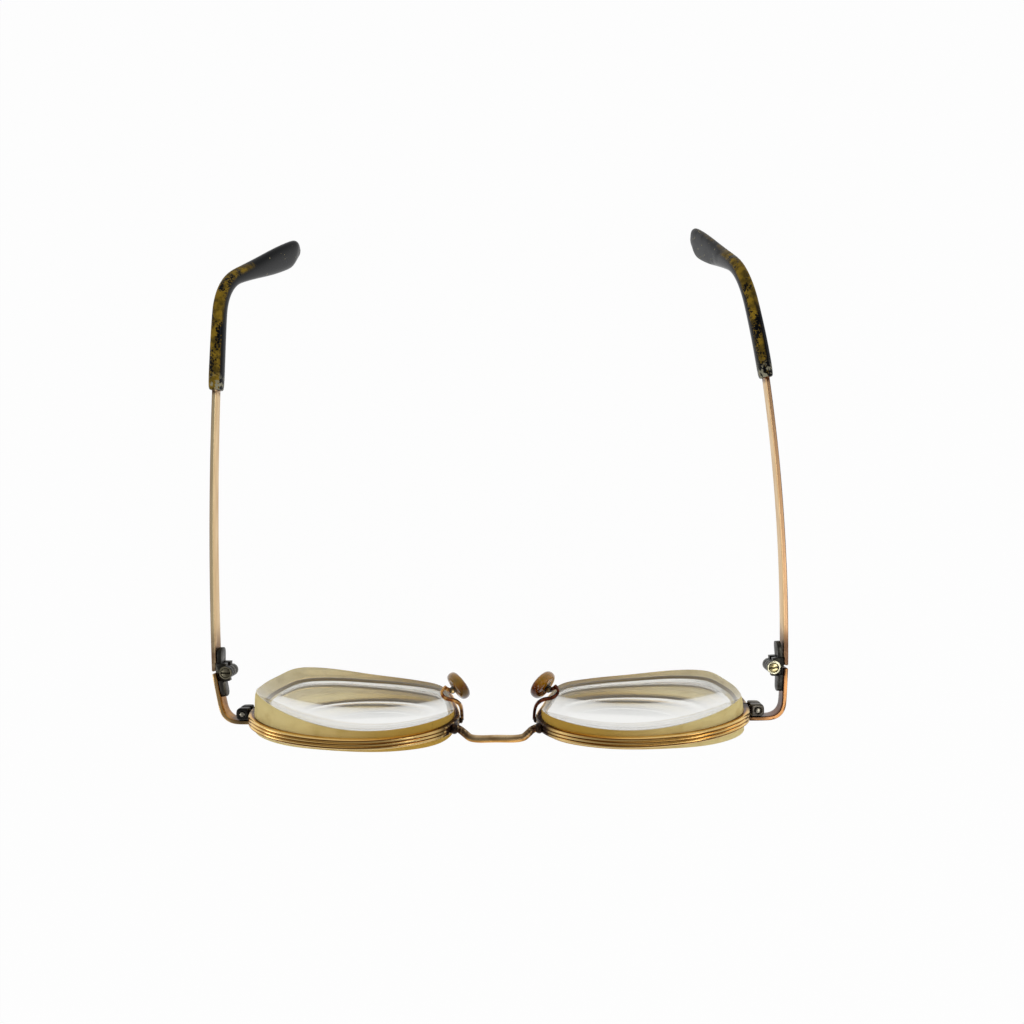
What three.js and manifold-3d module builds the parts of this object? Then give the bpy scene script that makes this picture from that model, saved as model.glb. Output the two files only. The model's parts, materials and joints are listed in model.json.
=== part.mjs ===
// Full-rim metal eyeglasses: grooved rims, thick minus lenses, a wire bridge, folding temples with
// plastic ear tips, and nose pads that rock on looped arms.
// Millimetres. +X is the wearer's left, +Y the back and +Z up. The frame stands on its rims and tips at Z = 0.
// Each side is built as the wearer's left. The wearer's right is its mirror image with its own settings.

import * as THREE from 'three';
import { mergeVertices } from 'three/addons/utils/BufferGeometryUtils.js';
import loadManifold from 'manifold-3d';

const manifold = await loadManifold();
manifold.setup();

const radians = THREE.MathUtils.degToRad;

// Eye shape: the lens outline in halves of its width and height, from the temple side round by the bottom
const EYE_WIDTH = 49;
const EYE_HEIGHT = 41;
const LENS_DISTANCE = 22;
const EYE_TILT = radians(5.5);
const EYE_WRAP = radians(3);
const EYE_OUTLINE = [
  [1.0, 0.22], [0.97, -0.18], [0.83, -0.64], [0.5, -0.91], [0.05, -1.0], [-0.4, -0.93], [-0.78, -0.67],
  [-0.94, -0.1], [-1.0, 0.38], [-0.86, 0.77], [-0.48, 0.96], [0.1, 1.0], [0.62, 0.955], [0.92, 0.71],
];
const OUTLINE_STEPS = 48;

// The curve that the rims and the lenses' bevels follow
const FRONT_RADIUS = 100;

// Lens: a minus lens with a nearly flat front, thin at the optical centre. Its V bevel sits in the rim's groove.
const LENS_FRONT_RADIUS = 200;
const CENTRE_THICKNESS = 1.6;
const OPTICAL_INSET = 3.2;
const LENS_FRONT_PROUD = 1;
const BEVEL_HEIGHT = 0.5;
const BEVEL_WIDTH = 1.4;
const LENS_FIT = 0.15;
const FRONT_RINGS = 3;
const BACK_RINGS = 4;

// Rim: a wire with three ridges outside and a V groove inside, split at the closing blocks.
// A ridge's slope is its share of the ridge's pitch.
const RIM_WIDTH = 2.4;
const RIM_WALL = 1.35;
const RIM_RIDGES = 3;
const RIDGE_DEPTH = 0.25;
const RIDGE_SLOPE = 0.25;
const RIM_SPLIT = 0.4;

// Gaps: soldered seams, and pieces that turn past each other
const SOLDER_GAP = 0.15;
const RUNNING_GAP = 0.15;

// Closing blocks and their screw, which comes in from below
const BLOCK_RISE = 6.8;
const BLOCK_WIDTH = 3.2;
const BLOCK_DEPTH = 3;
const BLOCK_HEIGHT = 2.1;
const BLOCK_CORNER = 1.1;
const CLOSING_SCREW_RADIUS = 0.6;
const CLOSING_HEAD_RADIUS = 1.05;
const CLOSING_HEAD_HEIGHT = 0.6;

// Endpiece: a strip in front of the blocks that bends back to the hinge
const STRIP_THICKNESS = 1;
const STRIP_HEIGHT = 3.8;
const STRIP_BEVEL = 0.15;
const ENDPIECE_LAP = 0.6;
const ENDPIECE_REACH = 5.5;
const ENDPIECE_DEPTH = 10.3;
const ENDPIECE_BEND = 4.2;

// Hinge: three knuckles on a slotted screw, the outer two on the temple's leaf
const KNUCKLE_RADIUS = 1.55;
const KNUCKLE_HEIGHT = 1.4;
const LEAF_INSET = 1.45;
const LEAF_THICKNESS = 1;
const LEAF_LENGTH = 6;
const LEAF_HEIGHT = 3.2;
const LEAF_START = 1.8;
const HINGE_SCREW_RADIUS = 0.7;
const HINGE_HEAD_RADIUS = 1.1;
const HINGE_HEAD_HEIGHT = 0.7;
const SLOT_WIDTH = 0.35;
const SLOT_DEPTH = 0.35;
const BUTT_GAP = 0.4;

// Temple: a flat bar, bowed outwards, that runs on as a core wire inside the tip. Its length is to the ear bend.
const TEMPLE_LENGTH = 96.7;
const BAR_THICKNESS = 1.1;
const BAR_HEIGHT_FRONT = 4;
const BAR_HEIGHT_BACK = 3.1;
const BAR_EDGE = 0.2;
const BAR_INSERT = 4;
const CORE_THICKNESS = 0.9;
const CORE_HEIGHT = 1.8;
const CORE_STOP = 7;

// Tip: the plastic ear piece, which narrows to a neck, bends down and inwards and widens to a paddle.
// Its length is from the ear bend.
const TIP_START = 70;
const TIP_FIT = 0.15;
const TIP_THICKNESS = 3.5;
const TIP_HEIGHT = 4.8;
const NECK_THICKNESS = 3.1;
const NECK_HEIGHT = 4;
const PADDLE_THICKNESS = 3;
const PADDLE_WIDTH = 9;
const TIP_LENGTH = 40.5;
const TIP_BEND = 8.5;
const TIP_DROP = radians(63);
const TIP_LEAD = 1;
const TIP_ROUNDING = 4.9;
// Where the tip is narrowest and widest, as shares of its length, and its oval section's faces and fullness
const WIDEN_FROM = 0.5;
const WIDEN_TO = 0.88;
const TIP_FACES = 14;
const TIP_FULLNESS = 2.6;
// How small the section gets at the tip's mouth and at its rounded end
const MOUTH_SHARE = 0.86;
const END_WIDTH_SHARE = 0.3;
const END_THICKNESS_SHARE = 0.6;

// Bridge: one wire that runs forward from the rims to a straight middle
const BRIDGE_RISE = 11.5;
const BRIDGE_STUB = 1.3;
const BRIDGE_REACH = 2.4;
const BRIDGE_FLAT = 12.3;
const BRIDGE_ARCH = 1.2;
const BRIDGE_DEPTH = 1.9;
const BRIDGE_HEIGHT = 1.8;
const BRIDGE_STEPS = 24;
const BRIDGE_FACES = 12;

// Nose pads, and the arms that carry them from the rim
const PAD_LENGTH = 13;
const PAD_WIDTH = 7.8;
const PAD_THICKNESS = 2.8;
// The pad's section from its back to its nose side, as [share of the thickness, share of the outline]
const PAD_PROFILE = [[-0.5, 0.7], [-0.4, 0.9], [-0.15, 1], [0.15, 1], [0.38, 0.92], [0.5, 0.72]];
// How much narrower the pad is at its upper end than in its middle, as a share
const PAD_EGG = 0.1;
const PAD_STEPS = 20;
const PAD_SPLAY = radians(33);
const PAD_LEAN = radians(18);
const PAD_RECESS_RADIUS = 1.85;
const PAD_RECESS_DEPTH = 0.6;
const MOUNT_THICKNESS = 0.5;
const EAR_THICKNESS = 0.4;
const EAR_RADIUS = 0.72;
const PIN_RADIUS = 0.3;
const PIN_HEAD_RADIUS = 0.5;
const PIN_HEAD_HEIGHT = 0.2;
const PIN_STANDOFF = 0.78;
const ARM_RISE = 5.5;
const ARM_THICKNESS = 0.75;
const ARM_HEIGHT = 1.4;
const ARM_EDGE = 0.12;
const ARM_EYE_RADIUS = 0.62;
const ARM_STEPS = 26;
// How far the arm's last stretch turns from the pad's back towards its front edge
const ARM_APPROACH = radians(54);
// The pin's place from the arm's root: outwards, behind and below
const PIN_OUTWARDS = 3.35;
const PIN_BEHIND = 5.4;
const PIN_BELOW = 8;
// The arm's way from the rim to the pin, seen from above: each point is given from the pin
const ARM_ROUTE = [[-3.2, -3.6], [-2.75, -2.2], [-1.3, -1.3], [0.7, -1.15], [1.85, -0.65], [2.25, 0.2], [1.6, 0.95]];

// Settings in which the two sides of this worn frame differ
const SIDES = {
  left: {
    mirror: 1,
    lensBackRadius: 54,
    lensSlant: radians(2),
    endpieceCorner: 2.4,
    templeLean: radians(4),
    templeBow: 2.1,
    tipCurl: 0.6,
    tipInward: radians(5.5),
    padOutwards: 0.6,
  },
  right: {
    mirror: -1,
    lensBackRadius: 48,
    lensSlant: radians(-0.6),
    endpieceCorner: 1,
    templeLean: radians(1.8),
    templeBow: 1,
    tipCurl: 0,
    tipInward: radians(12),
    padOutwards: 0,
  },
};

// Faces round a screw, a knuckle or a pin, and round a bend
const ROUND_STEPS = 16;
const BEND_STEPS = 6;

// How far a cutting shape runs on past the piece that it cuts
const CUT_PAST = 1;

const MATERIALS = {
  gold: new THREE.MeshStandardMaterial({ color: 0xb88a3c, roughness: 0.3, metalness: 1 }),
  bronze: new THREE.MeshStandardMaterial({ color: 0x8f6a3a, roughness: 0.35, metalness: 1 }),
  champagne: new THREE.MeshStandardMaterial({ color: 0xc2a373, roughness: 0.35, metalness: 1 }),
  darkMetal: new THREE.MeshStandardMaterial({ color: 0x4a4541, roughness: 0.45, metalness: 1 }),
  screwMetal: new THREE.MeshStandardMaterial({ color: 0xa39a84, roughness: 0.3, metalness: 1 }),
  glass: new THREE.MeshStandardMaterial({ color: 0xe8eadf, roughness: 0.05, transparent: true, opacity: 0.35 }),
  amber: new THREE.MeshStandardMaterial({ color: 0x8a4d14, roughness: 0.25 }),
  black: new THREE.MeshStandardMaterial({ color: 0x17181b, roughness: 0.3 }),
};

// Solids

function signedVolume(position, index) {
  const corner = [new THREE.Vector3(), new THREE.Vector3(), new THREE.Vector3()];
  let volume = 0;
  for (let i = 0; i < index.length; i += 3) {
    corner.forEach((point, k) => point.fromBufferAttribute(position, index[i + k]));
    volume += corner[0].dot(corner[1].cross(corner[2])) / 6;
  }
  return volume;
}

// Shared vertices, no collapsed triangles, faces pointing out
function tidy(geometry) {
  const bare = new THREE.BufferGeometry();
  bare.setAttribute('position', geometry.getAttribute('position').clone());
  bare.setIndex(geometry.getIndex());
  const merged = mergeVertices(bare, 1e-5);
  const source = Array.from(merged.getIndex().array);
  const index = [];
  for (let i = 0; i < source.length; i += 3) {
    const [a, b, c] = source.slice(i, i + 3);
    if (a !== b && b !== c && c !== a) {
      index.push(a, b, c);
    }
  }
  if (signedVolume(merged.getAttribute('position'), index) < 0) {
    index.reverse();
  }
  merged.setIndex(index);
  return merged;
}

function solidOf(geometry) {
  const closed = tidy(geometry);
  const vertProperties = new Float32Array(closed.getAttribute('position').array);
  const triVerts = new Uint32Array(closed.getIndex().array);
  return new manifold.Manifold(new manifold.Mesh({ numProp: 3, vertProperties, triVerts }));
}

function geometryOf(solid) {
  const mesh = solid.getMesh();
  const geometry = new THREE.BufferGeometry();
  geometry.setAttribute('position', new THREE.BufferAttribute(new Float32Array(mesh.vertProperties), 3));
  geometry.setIndex(Array.from(mesh.triVerts));
  return geometry;
}

function join(...geometries) {
  return geometryOf(geometries.map(solidOf).reduce((whole, piece) => whole.add(piece)));
}

function cut(geometry, ...tools) {
  return geometryOf(tools.map(solidOf).reduce((whole, tool) => whole.subtract(tool), solidOf(geometry)));
}

// A skin through rings of points. A ring of one point closes an end to a tip, and an open end gets a flat cap.
function loft(rings, loop = false) {
  const starts = [];
  const coordinates = [];
  rings.forEach((ring) => {
    starts.push(coordinates.length / 3);
    ring.forEach((point) => coordinates.push(point.x, point.y, point.z));
  });
  const index = [];
  const bands = loop ? rings.length : rings.length - 1;
  for (let band = 0; band < bands; band += 1) {
    const next = (band + 1) % rings.length;
    const near = rings[band].length;
    const far = rings[next].length;
    const count = Math.max(near, far);
    for (let k = 0; k < count; k += 1) {
      const a = starts[band] + (k % near);
      const b = starts[band] + ((k + 1) % near);
      const c = starts[next] + (k % far);
      const d = starts[next] + ((k + 1) % far);
      index.push(a, b, d, a, d, c);
    }
  }
  if (!loop) {
    const last = rings.length - 1;
    for (let k = 1; k < rings[0].length - 1; k += 1) {
      index.push(starts[0], starts[0] + k + 1, starts[0] + k);
    }
    for (let k = 1; k < rings[last].length - 1; k += 1) {
      index.push(starts[last], starts[last] + k, starts[last] + k + 1);
    }
  }
  const geometry = new THREE.BufferGeometry();
  geometry.setAttribute('position', new THREE.Float32BufferAttribute(coordinates, 3));
  geometry.setIndex(index);
  return tidy(geometry);
}

// Rings of a section carried along points. A section's points are [sideways, upwards].
function sweepRings(points, tangents, sectionAt) {
  const up = new THREE.Vector3(0, 0, 1);
  return points.map((point, i) => {
    const side = new THREE.Vector3().crossVectors(tangents[i], up).normalize();
    const rise = new THREE.Vector3().crossVectors(side, tangents[i]).normalize();
    return sectionAt(i).map(([a, b]) => point.clone().addScaledVector(side, a).addScaledVector(rise, b));
  });
}

// The directions along a row of points
function directions(points) {
  return points.map((point, i) => {
    const before = points[Math.max(i - 1, 0)];
    const after = points[Math.min(i + 1, points.length - 1)];
    return after.clone().sub(before).normalize();
  });
}

// A rectangle with its corners cut off
function barSection(width, height, corner) {
  const a = width / 2;
  const b = height / 2;
  return [
    [a, corner - b], [a, b - corner], [a - corner, b], [corner - a, b],
    [-a, b - corner], [-a, corner - b], [corner - a, -b], [a - corner, -b],
  ];
}

// An ellipse, or a fuller oval where the fullness is above 2
function ovalSection(width, height, steps, fullness = 2) {
  const bulge = (value) => Math.sign(value) * Math.abs(value) ** (2 / fullness);
  return Array.from({ length: steps }, (_, k) => {
    const angle = ((k + 0.5) / steps) * 2 * Math.PI;
    return [(width / 2) * bulge(Math.cos(angle)), (height / 2) * bulge(Math.sin(angle))];
  });
}

// A cylinder that stands on Z from one height to another
function column(radius, low, high) {
  const geometry = new THREE.CylinderGeometry(radius, radius, high - low, ROUND_STEPS);
  geometry.rotateX(Math.PI / 2);
  geometry.translate(0, 0, (low + high) / 2);
  return geometry;
}

function slab(low, high) {
  const size = high.clone().sub(low);
  const middle = high.clone().add(low).multiplyScalar(0.5);
  return new THREE.BoxGeometry(size.x, size.y, size.z).translate(middle.x, middle.y, middle.z);
}

// A plate between two heights from its outline seen from above, with its edges bevelled
function plate(shape, low, high, bevel) {
  const geometry = new THREE.ExtrudeGeometry(shape, {
    depth: high - low - 2 * bevel,
    bevelEnabled: bevel > 0,
    bevelThickness: bevel,
    bevelSize: bevel,
    bevelOffset: -bevel,
    bevelSegments: 1,
    curveSegments: 4,
  });
  return geometry.translate(0, 0, low + bevel);
}

// A screw on Z with its head's top at the origin and its shank going down
function screw(shankRadius, headRadius, headHeight, length) {
  const profile = [
    [0, 0], [headRadius, 0], [headRadius, -headHeight], [shankRadius, -headHeight], [shankRadius, -length], [0, -length],
  ];
  const turned = new THREE.LatheGeometry(profile.map(([r, h]) => new THREE.Vector2(r, h)), ROUND_STEPS);
  turned.rotateX(Math.PI / 2);
  const slot = slab(
    new THREE.Vector3(-headRadius - CUT_PAST, -SLOT_WIDTH / 2, -SLOT_DEPTH),
    new THREE.Vector3(headRadius + CUT_PAST, SLOT_WIDTH / 2, CUT_PAST),
  );
  return cut(turned, slot);
}

// The eye: rim and lens share one outline. In the eye's frame X is the temple side, Y the back and Z up.

function eyeOutline() {
  const curve = new THREE.CatmullRomCurve3(EYE_OUTLINE.map(([u, v]) => new THREE.Vector3(u, 0, v)), true);
  const spaced = curve.getSpacedPoints(OUTLINE_STEPS).slice(0, -1);
  const box = new THREE.Box3().setFromPoints(spaced);
  const middle = box.getCenter(new THREE.Vector3());
  const size = box.getSize(new THREE.Vector3());
  const points = spaced.map((point) => ({
    u: ((point.x - middle.x) / size.x) * EYE_WIDTH,
    v: ((point.z - middle.z) / size.z) * EYE_HEIGHT,
  }));
  return points.map((point, i) => {
    const before = points[(i + points.length - 1) % points.length];
    const after = points[(i + 1) % points.length];
    const along = new THREE.Vector2(after.u - before.u, after.v - before.v).normalize();
    const facing = Math.sign(point.u * -along.y + point.v * along.x);
    return { ...point, normalU: -along.y * facing, normalV: along.x * facing };
  });
}

const OUTLINE = eyeOutline();

// How far a ball of this radius falls back at a distance from its front
function sag(radius, u, v) {
  return radius - Math.sqrt(radius * radius - u * u - v * v);
}

// The outline moved outwards, and back from the rim's own curve
function eyeRing(outwards, back) {
  return OUTLINE.map(({ u, v, normalU, normalV }) => new THREE.Vector3(
    u + normalU * outwards,
    sag(FRONT_RADIUS, u, v) + back,
    v + normalV * outwards,
  ));
}

// A point on the rim at a height above the eye's middle, on the temple side (+1) or the nose side (-1)
function rimPoint(side, height, outwards) {
  const ring = eyeRing(outwards, 0);
  for (let i = 0; i < ring.length; i += 1) {
    const a = ring[i];
    const b = ring[(i + 1) % ring.length];
    const crosses = (a.z - height) * (b.z - height) <= 0 && a.z !== b.z;
    if (crosses && Math.sign(a.x + b.x) === side) {
      return a.clone().lerp(b, (height - a.z) / (b.z - a.z));
    }
  }
  throw new Error('the eye is lower than the height asked for');
}

const RIM_CREST = LENS_FIT + RIM_WALL;

// The rim's section, as [outwards from the lens edge, towards the back]
function rimSection() {
  const half = RIM_WIDTH / 2;
  const pitch = RIM_WIDTH / RIM_RIDGES;
  const points = [];
  for (let ridge = 0; ridge < RIM_RIDGES; ridge += 1) {
    const start = ridge * pitch - half;
    points.push([RIM_CREST - RIDGE_DEPTH, start]);
    points.push([RIM_CREST, start + RIDGE_SLOPE * pitch]);
    points.push([RIM_CREST, start + (1 - RIDGE_SLOPE) * pitch]);
  }
  points.push([RIM_CREST - RIDGE_DEPTH, half]);
  points.push([LENS_FIT, half]);
  points.push([LENS_FIT, BEVEL_WIDTH / 2]);
  points.push([LENS_FIT + BEVEL_HEIGHT, 0]);
  points.push([LENS_FIT, -BEVEL_WIDTH / 2]);
  points.push([LENS_FIT, -half]);
  return points;
}

function rimGeometry() {
  const rings = rimSection().map(([outwards, back]) => eyeRing(outwards, back));
  const ring = loft(rings, true);
  const temple = rimPoint(1, BLOCK_RISE, 0);
  const split = slab(
    new THREE.Vector3(temple.x - CUT_PAST, temple.y - RIM_WIDTH, BLOCK_RISE - RIM_SPLIT / 2),
    new THREE.Vector3(temple.x + RIM_CREST + CUT_PAST, temple.y + RIM_WIDTH, BLOCK_RISE + RIM_SPLIT / 2),
  );
  return cut(ring, split);
}

function lensGeometry(backRadius, slant) {
  const tilt = Math.tan(slant);
  const front = (u, v) => sag(LENS_FRONT_RADIUS, u, v) - LENS_FRONT_PROUD - tilt * u;
  const backAtCentre = CENTRE_THICKNESS - LENS_FRONT_PROUD;
  const back = (u, v) => sag(backRadius, u + OPTICAL_INSET, v) + backAtCentre - tilt * u;
  const face = (share, height) => OUTLINE.map(
    ({ u, v }) => new THREE.Vector3(u * share, height(u * share, v * share), v * share),
  );
  const rings = [[new THREE.Vector3(0, front(0, 0), 0)]];
  for (let k = 1; k <= FRONT_RINGS; k += 1) {
    rings.push(face(k / FRONT_RINGS, front));
  }
  rings.push(eyeRing(0, -BEVEL_WIDTH / 2), eyeRing(BEVEL_HEIGHT, 0), eyeRing(0, BEVEL_WIDTH / 2));
  for (let k = BACK_RINGS; k >= 1; k -= 1) {
    rings.push(face(k / BACK_RINGS, back));
  }
  rings.push([new THREE.Vector3(0, back(0, 0), 0)]);
  return loft(rings);
}

// Closing blocks, which stand upright beside the rim's split

function blockGeometry(low, high, headLow) {
  const a = BLOCK_WIDTH / 2;
  const b = BLOCK_DEPTH / 2;
  const r = BLOCK_CORNER;
  const shape = new THREE.Shape();
  shape.moveTo(-a, -b);
  shape.lineTo(a - r, -b);
  shape.quadraticCurveTo(a, -b, a, r - b);
  shape.lineTo(a, b - r);
  shape.quadraticCurveTo(a, b, a - r, b);
  shape.lineTo(-a, b);
  const block = plate(shape, low, high, STRIP_BEVEL);
  const bore = column(CLOSING_SCREW_RADIUS + RUNNING_GAP, low - CUT_PAST, high + CUT_PAST);
  const sinkTop = headLow + CLOSING_HEAD_HEIGHT + RUNNING_GAP;
  const sink = column(CLOSING_HEAD_RADIUS + RUNNING_GAP, headLow - CUT_PAST, sinkTop);
  return cut(block, bore, sink);
}

const BLOCK_INNER = RIM_SPLIT / 2;
const BLOCK_OUTER = BLOCK_INNER + BLOCK_HEIGHT;

function upperBlock() {
  return blockGeometry(BLOCK_INNER, BLOCK_OUTER, -BLOCK_OUTER);
}

function lowerBlock() {
  return blockGeometry(-BLOCK_OUTER, -BLOCK_INNER, -BLOCK_OUTER);
}

function closingScrew() {
  const geometry = screw(CLOSING_SCREW_RADIUS, CLOSING_HEAD_RADIUS, CLOSING_HEAD_HEIGHT, 2 * BLOCK_OUTER);
  return geometry.rotateX(Math.PI).translate(0, 0, -BLOCK_OUTER);
}

// The hinge, in a frame whose Z is the hinge's axis and whose X points out

const STRIP_OFFSET = LEAF_INSET + LEAF_THICKNESS + SOLDER_GAP + STRIP_THICKNESS / 2;
const KNUCKLE_STEP = KNUCKLE_HEIGHT + RUNNING_GAP;
const HINGE_TOP = KNUCKLE_HEIGHT / 2 + KNUCKLE_STEP;

// A strip's outline from the points of its middle line
function ribbon(points, thickness) {
  const along = directions(points.map(([x, y]) => new THREE.Vector3(x, y, 0)));
  const edge = (side) => points.map(([x, y], i) => new THREE.Vector2(
    x - along[i].y * side * (thickness / 2),
    y + along[i].x * side * (thickness / 2),
  ));
  return new THREE.Shape([...edge(-1), ...edge(1).reverse()]);
}

// The endpiece's start in front of the closing blocks, its corner and its end at the hinge
function endpieceCorners(blockFromHinge, cornerOut) {
  const lead = blockFromHinge.y - BLOCK_DEPTH / 2 - SOLDER_GAP - STRIP_THICKNESS / 2;
  return [
    new THREE.Vector2(blockFromHinge.x - BLOCK_WIDTH / 2 - ENDPIECE_LAP, lead),
    new THREE.Vector2(cornerOut, lead),
    new THREE.Vector2(STRIP_OFFSET, -BUTT_GAP / 2),
  ];
}

function endpieceGeometry([start, corner, end]) {
  const towards = (from, to) => to.clone().sub(from).normalize();
  const bendIn = corner.clone().addScaledVector(towards(corner, start), ENDPIECE_BEND);
  const bendOut = corner.clone().addScaledVector(towards(corner, end), ENDPIECE_BEND);
  const bend = new THREE.QuadraticBezierCurve(bendIn, corner, bendOut).getPoints(BEND_STEPS);
  const points = [start, ...bend, end].map((point) => [point.x, point.y]);
  return plate(ribbon(points, STRIP_THICKNESS), -STRIP_HEIGHT / 2, STRIP_HEIGHT / 2, STRIP_BEVEL);
}

// A leaf that reaches back (+1) or forward (-1) from its knuckles
function leafGeometry(way, knuckleLevels) {
  const half = LEAF_HEIGHT / 2;
  const shape = new THREE.Shape();
  shape.moveTo(LEAF_START, -half);
  shape.lineTo(LEAF_LENGTH - half, -half);
  shape.quadraticCurveTo(LEAF_LENGTH, -half, LEAF_LENGTH, 0);
  shape.quadraticCurveTo(LEAF_LENGTH, half, LEAF_LENGTH - half, half);
  shape.lineTo(LEAF_START, half);
  const leaf = plate(shape, LEAF_INSET, LEAF_INSET + LEAF_THICKNESS, 0);
  leaf.applyMatrix4(new THREE.Matrix4().makeBasis(
    new THREE.Vector3(0, way, 0), new THREE.Vector3(0, 0, 1), new THREE.Vector3(1, 0, 0),
  ));
  const neck = LEAF_START + LEAF_THICKNESS / 2;
  const pieces = [leaf];
  knuckleLevels.forEach((level) => {
    const low = level * KNUCKLE_STEP - KNUCKLE_HEIGHT / 2;
    const high = low + KNUCKLE_HEIGHT;
    pieces.push(column(KNUCKLE_RADIUS, low, high));
    pieces.push(slab(
      new THREE.Vector3(0, Math.min(0, way * neck), low),
      new THREE.Vector3(LEAF_INSET + LEAF_THICKNESS, Math.max(0, way * neck), high),
    ));
  });
  const bore = column(HINGE_SCREW_RADIUS + RUNNING_GAP, -HINGE_TOP - CUT_PAST, HINGE_TOP + CUT_PAST);
  const sinkFloor = HINGE_TOP - HINGE_HEAD_HEIGHT - RUNNING_GAP;
  const sink = column(HINGE_HEAD_RADIUS + RUNNING_GAP, sinkFloor, HINGE_TOP + CUT_PAST);
  return cut(join(...pieces), bore, sink);
}

function hingeScrew() {
  const geometry = screw(HINGE_SCREW_RADIUS, HINGE_HEAD_RADIUS, HINGE_HEAD_HEIGHT, 2 * HINGE_TOP);
  return geometry.translate(0, 0, HINGE_TOP);
}

// The temple, in the hinge's frame

const BEND_START = TEMPLE_LENGTH - TIP_BEND;
const BEND_END = TEMPLE_LENGTH + TIP_BEND;
const WHOLE_LENGTH = TEMPLE_LENGTH + TIP_LENGTH;

// The middle line by the length along it: a bowed bar, a bend and a straight drop
function templePoint(length, { templeBow: bow, tipCurl: curl, tipInward: inward }) {
  const grip = BEND_START - TIP_START;
  const bar = BEND_START - BUTT_GAP / 2;
  if (length <= BEND_START) {
    const share = (length - BUTT_GAP / 2) / bar;
    const gripShare = Math.max(0, length - TIP_START) / grip;
    return new THREE.Vector3(STRIP_OFFSET + 4 * bow * share * (1 - share) - curl * gripShare ** 2, length, 0);
  }
  const start = new THREE.Vector3(STRIP_OFFSET - curl, BEND_START, 0);
  const slope = (4 * bow) / bar + (2 * curl) / grip;
  const corner = new THREE.Vector3(start.x - slope * TIP_BEND, TEMPLE_LENGTH, 0);
  const drop = new THREE.Vector3(0, Math.cos(TIP_DROP), -Math.sin(TIP_DROP)).multiplyScalar(Math.cos(inward));
  drop.x = -Math.sin(inward);
  const end = corner.clone().addScaledVector(drop, TIP_BEND);
  if (length <= BEND_END) {
    return new THREE.QuadraticBezierCurve3(start, corner, end).getPoint((length - BEND_START) / (2 * TIP_BEND));
  }
  return end.addScaledVector(drop, length - BEND_END);
}

function templeRings(settings, stations, sectionAt) {
  const step = 0.005 * TEMPLE_LENGTH;
  const points = stations.map((length) => templePoint(length, settings));
  const tangents = stations.map((length) => {
    const before = templePoint(Math.max(length - step, BUTT_GAP / 2), settings);
    return templePoint(length + step, settings).sub(before).normalize();
  });
  return sweepRings(points, tangents, (i) => sectionAt(stations[i]));
}

function spread(from, to, steps) {
  return Array.from({ length: steps + 1 }, (_, k) => from + ((to - from) * k) / steps);
}

function barHeight(length) {
  return THREE.MathUtils.mapLinear(length, 0, TIP_START, BAR_HEIGHT_FRONT, BAR_HEIGHT_BACK);
}

// The metal of the temple. The same form, grown by a clearance, is the bore in the tip.
function barGeometry(settings, clearance, from) {
  const shoulder = TIP_START + BAR_INSERT + clearance;
  const coreEnd = WHOLE_LENGTH - CORE_STOP + clearance;
  const barStations = spread(from, shoulder, 7);
  const coreStations = [shoulder, ...spread(BEND_START, BEND_END, BEND_STEPS), coreEnd];
  const bar = templeRings(settings, barStations, (length) => barSection(
    BAR_THICKNESS + 2 * clearance, barHeight(length) + 2 * clearance, BAR_EDGE,
  ));
  const core = templeRings(settings, coreStations, () => barSection(
    CORE_THICKNESS + 2 * clearance, CORE_HEIGHT + 2 * clearance, BAR_EDGE,
  ));
  return loft([...bar, ...core]);
}

// The tip's section widens along its length and rounds off over its last stretch
function tipGeometry(settings) {
  const roundStart = WHOLE_LENGTH - TIP_ROUNDING;
  const stations = [
    TIP_START, TIP_START + TIP_LEAD, (TIP_START + BEND_START) / 2,
    ...spread(BEND_START, BEND_END, BEND_STEPS),
    ...spread(BEND_END, roundStart, 3).slice(1),
    ...[0.4, 0.7, 0.9, 1].map((share) => roundStart + share * TIP_ROUNDING),
  ];
  const rings = templeRings(settings, stations, (length) => {
    const share = (length - TIP_START) / (WHOLE_LENGTH - TIP_START);
    const narrowing = THREE.MathUtils.smoothstep(share, 0, WIDEN_FROM);
    const widening = THREE.MathUtils.smoothstep(share, WIDEN_FROM, WIDEN_TO);
    const past = THREE.MathUtils.clamp((length - roundStart) / TIP_ROUNDING, 0, 1);
    const rounding = Math.sqrt(1 - past * past);
    const mouth = length === TIP_START ? MOUTH_SHARE : 1;
    const neckWidth = THREE.MathUtils.lerp(TIP_HEIGHT, NECK_HEIGHT, narrowing);
    const neckThickness = THREE.MathUtils.lerp(TIP_THICKNESS, NECK_THICKNESS, narrowing);
    const fullWidth = THREE.MathUtils.lerp(neckWidth, PADDLE_WIDTH, widening);
    const fullThickness = THREE.MathUtils.lerp(neckThickness, PADDLE_THICKNESS, widening);
    const width = fullWidth * mouth * Math.max(rounding, END_WIDTH_SHARE);
    const thickness = fullThickness * mouth * Math.max(rounding, END_THICKNESS_SHARE);
    return ovalSection(thickness, width, TIP_FACES, TIP_FULLNESS);
  });
  return cut(loft(rings), barGeometry(settings, TIP_FIT, TIP_START - TIP_LEAD));
}

// The bridge, from one rim to the other

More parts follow.
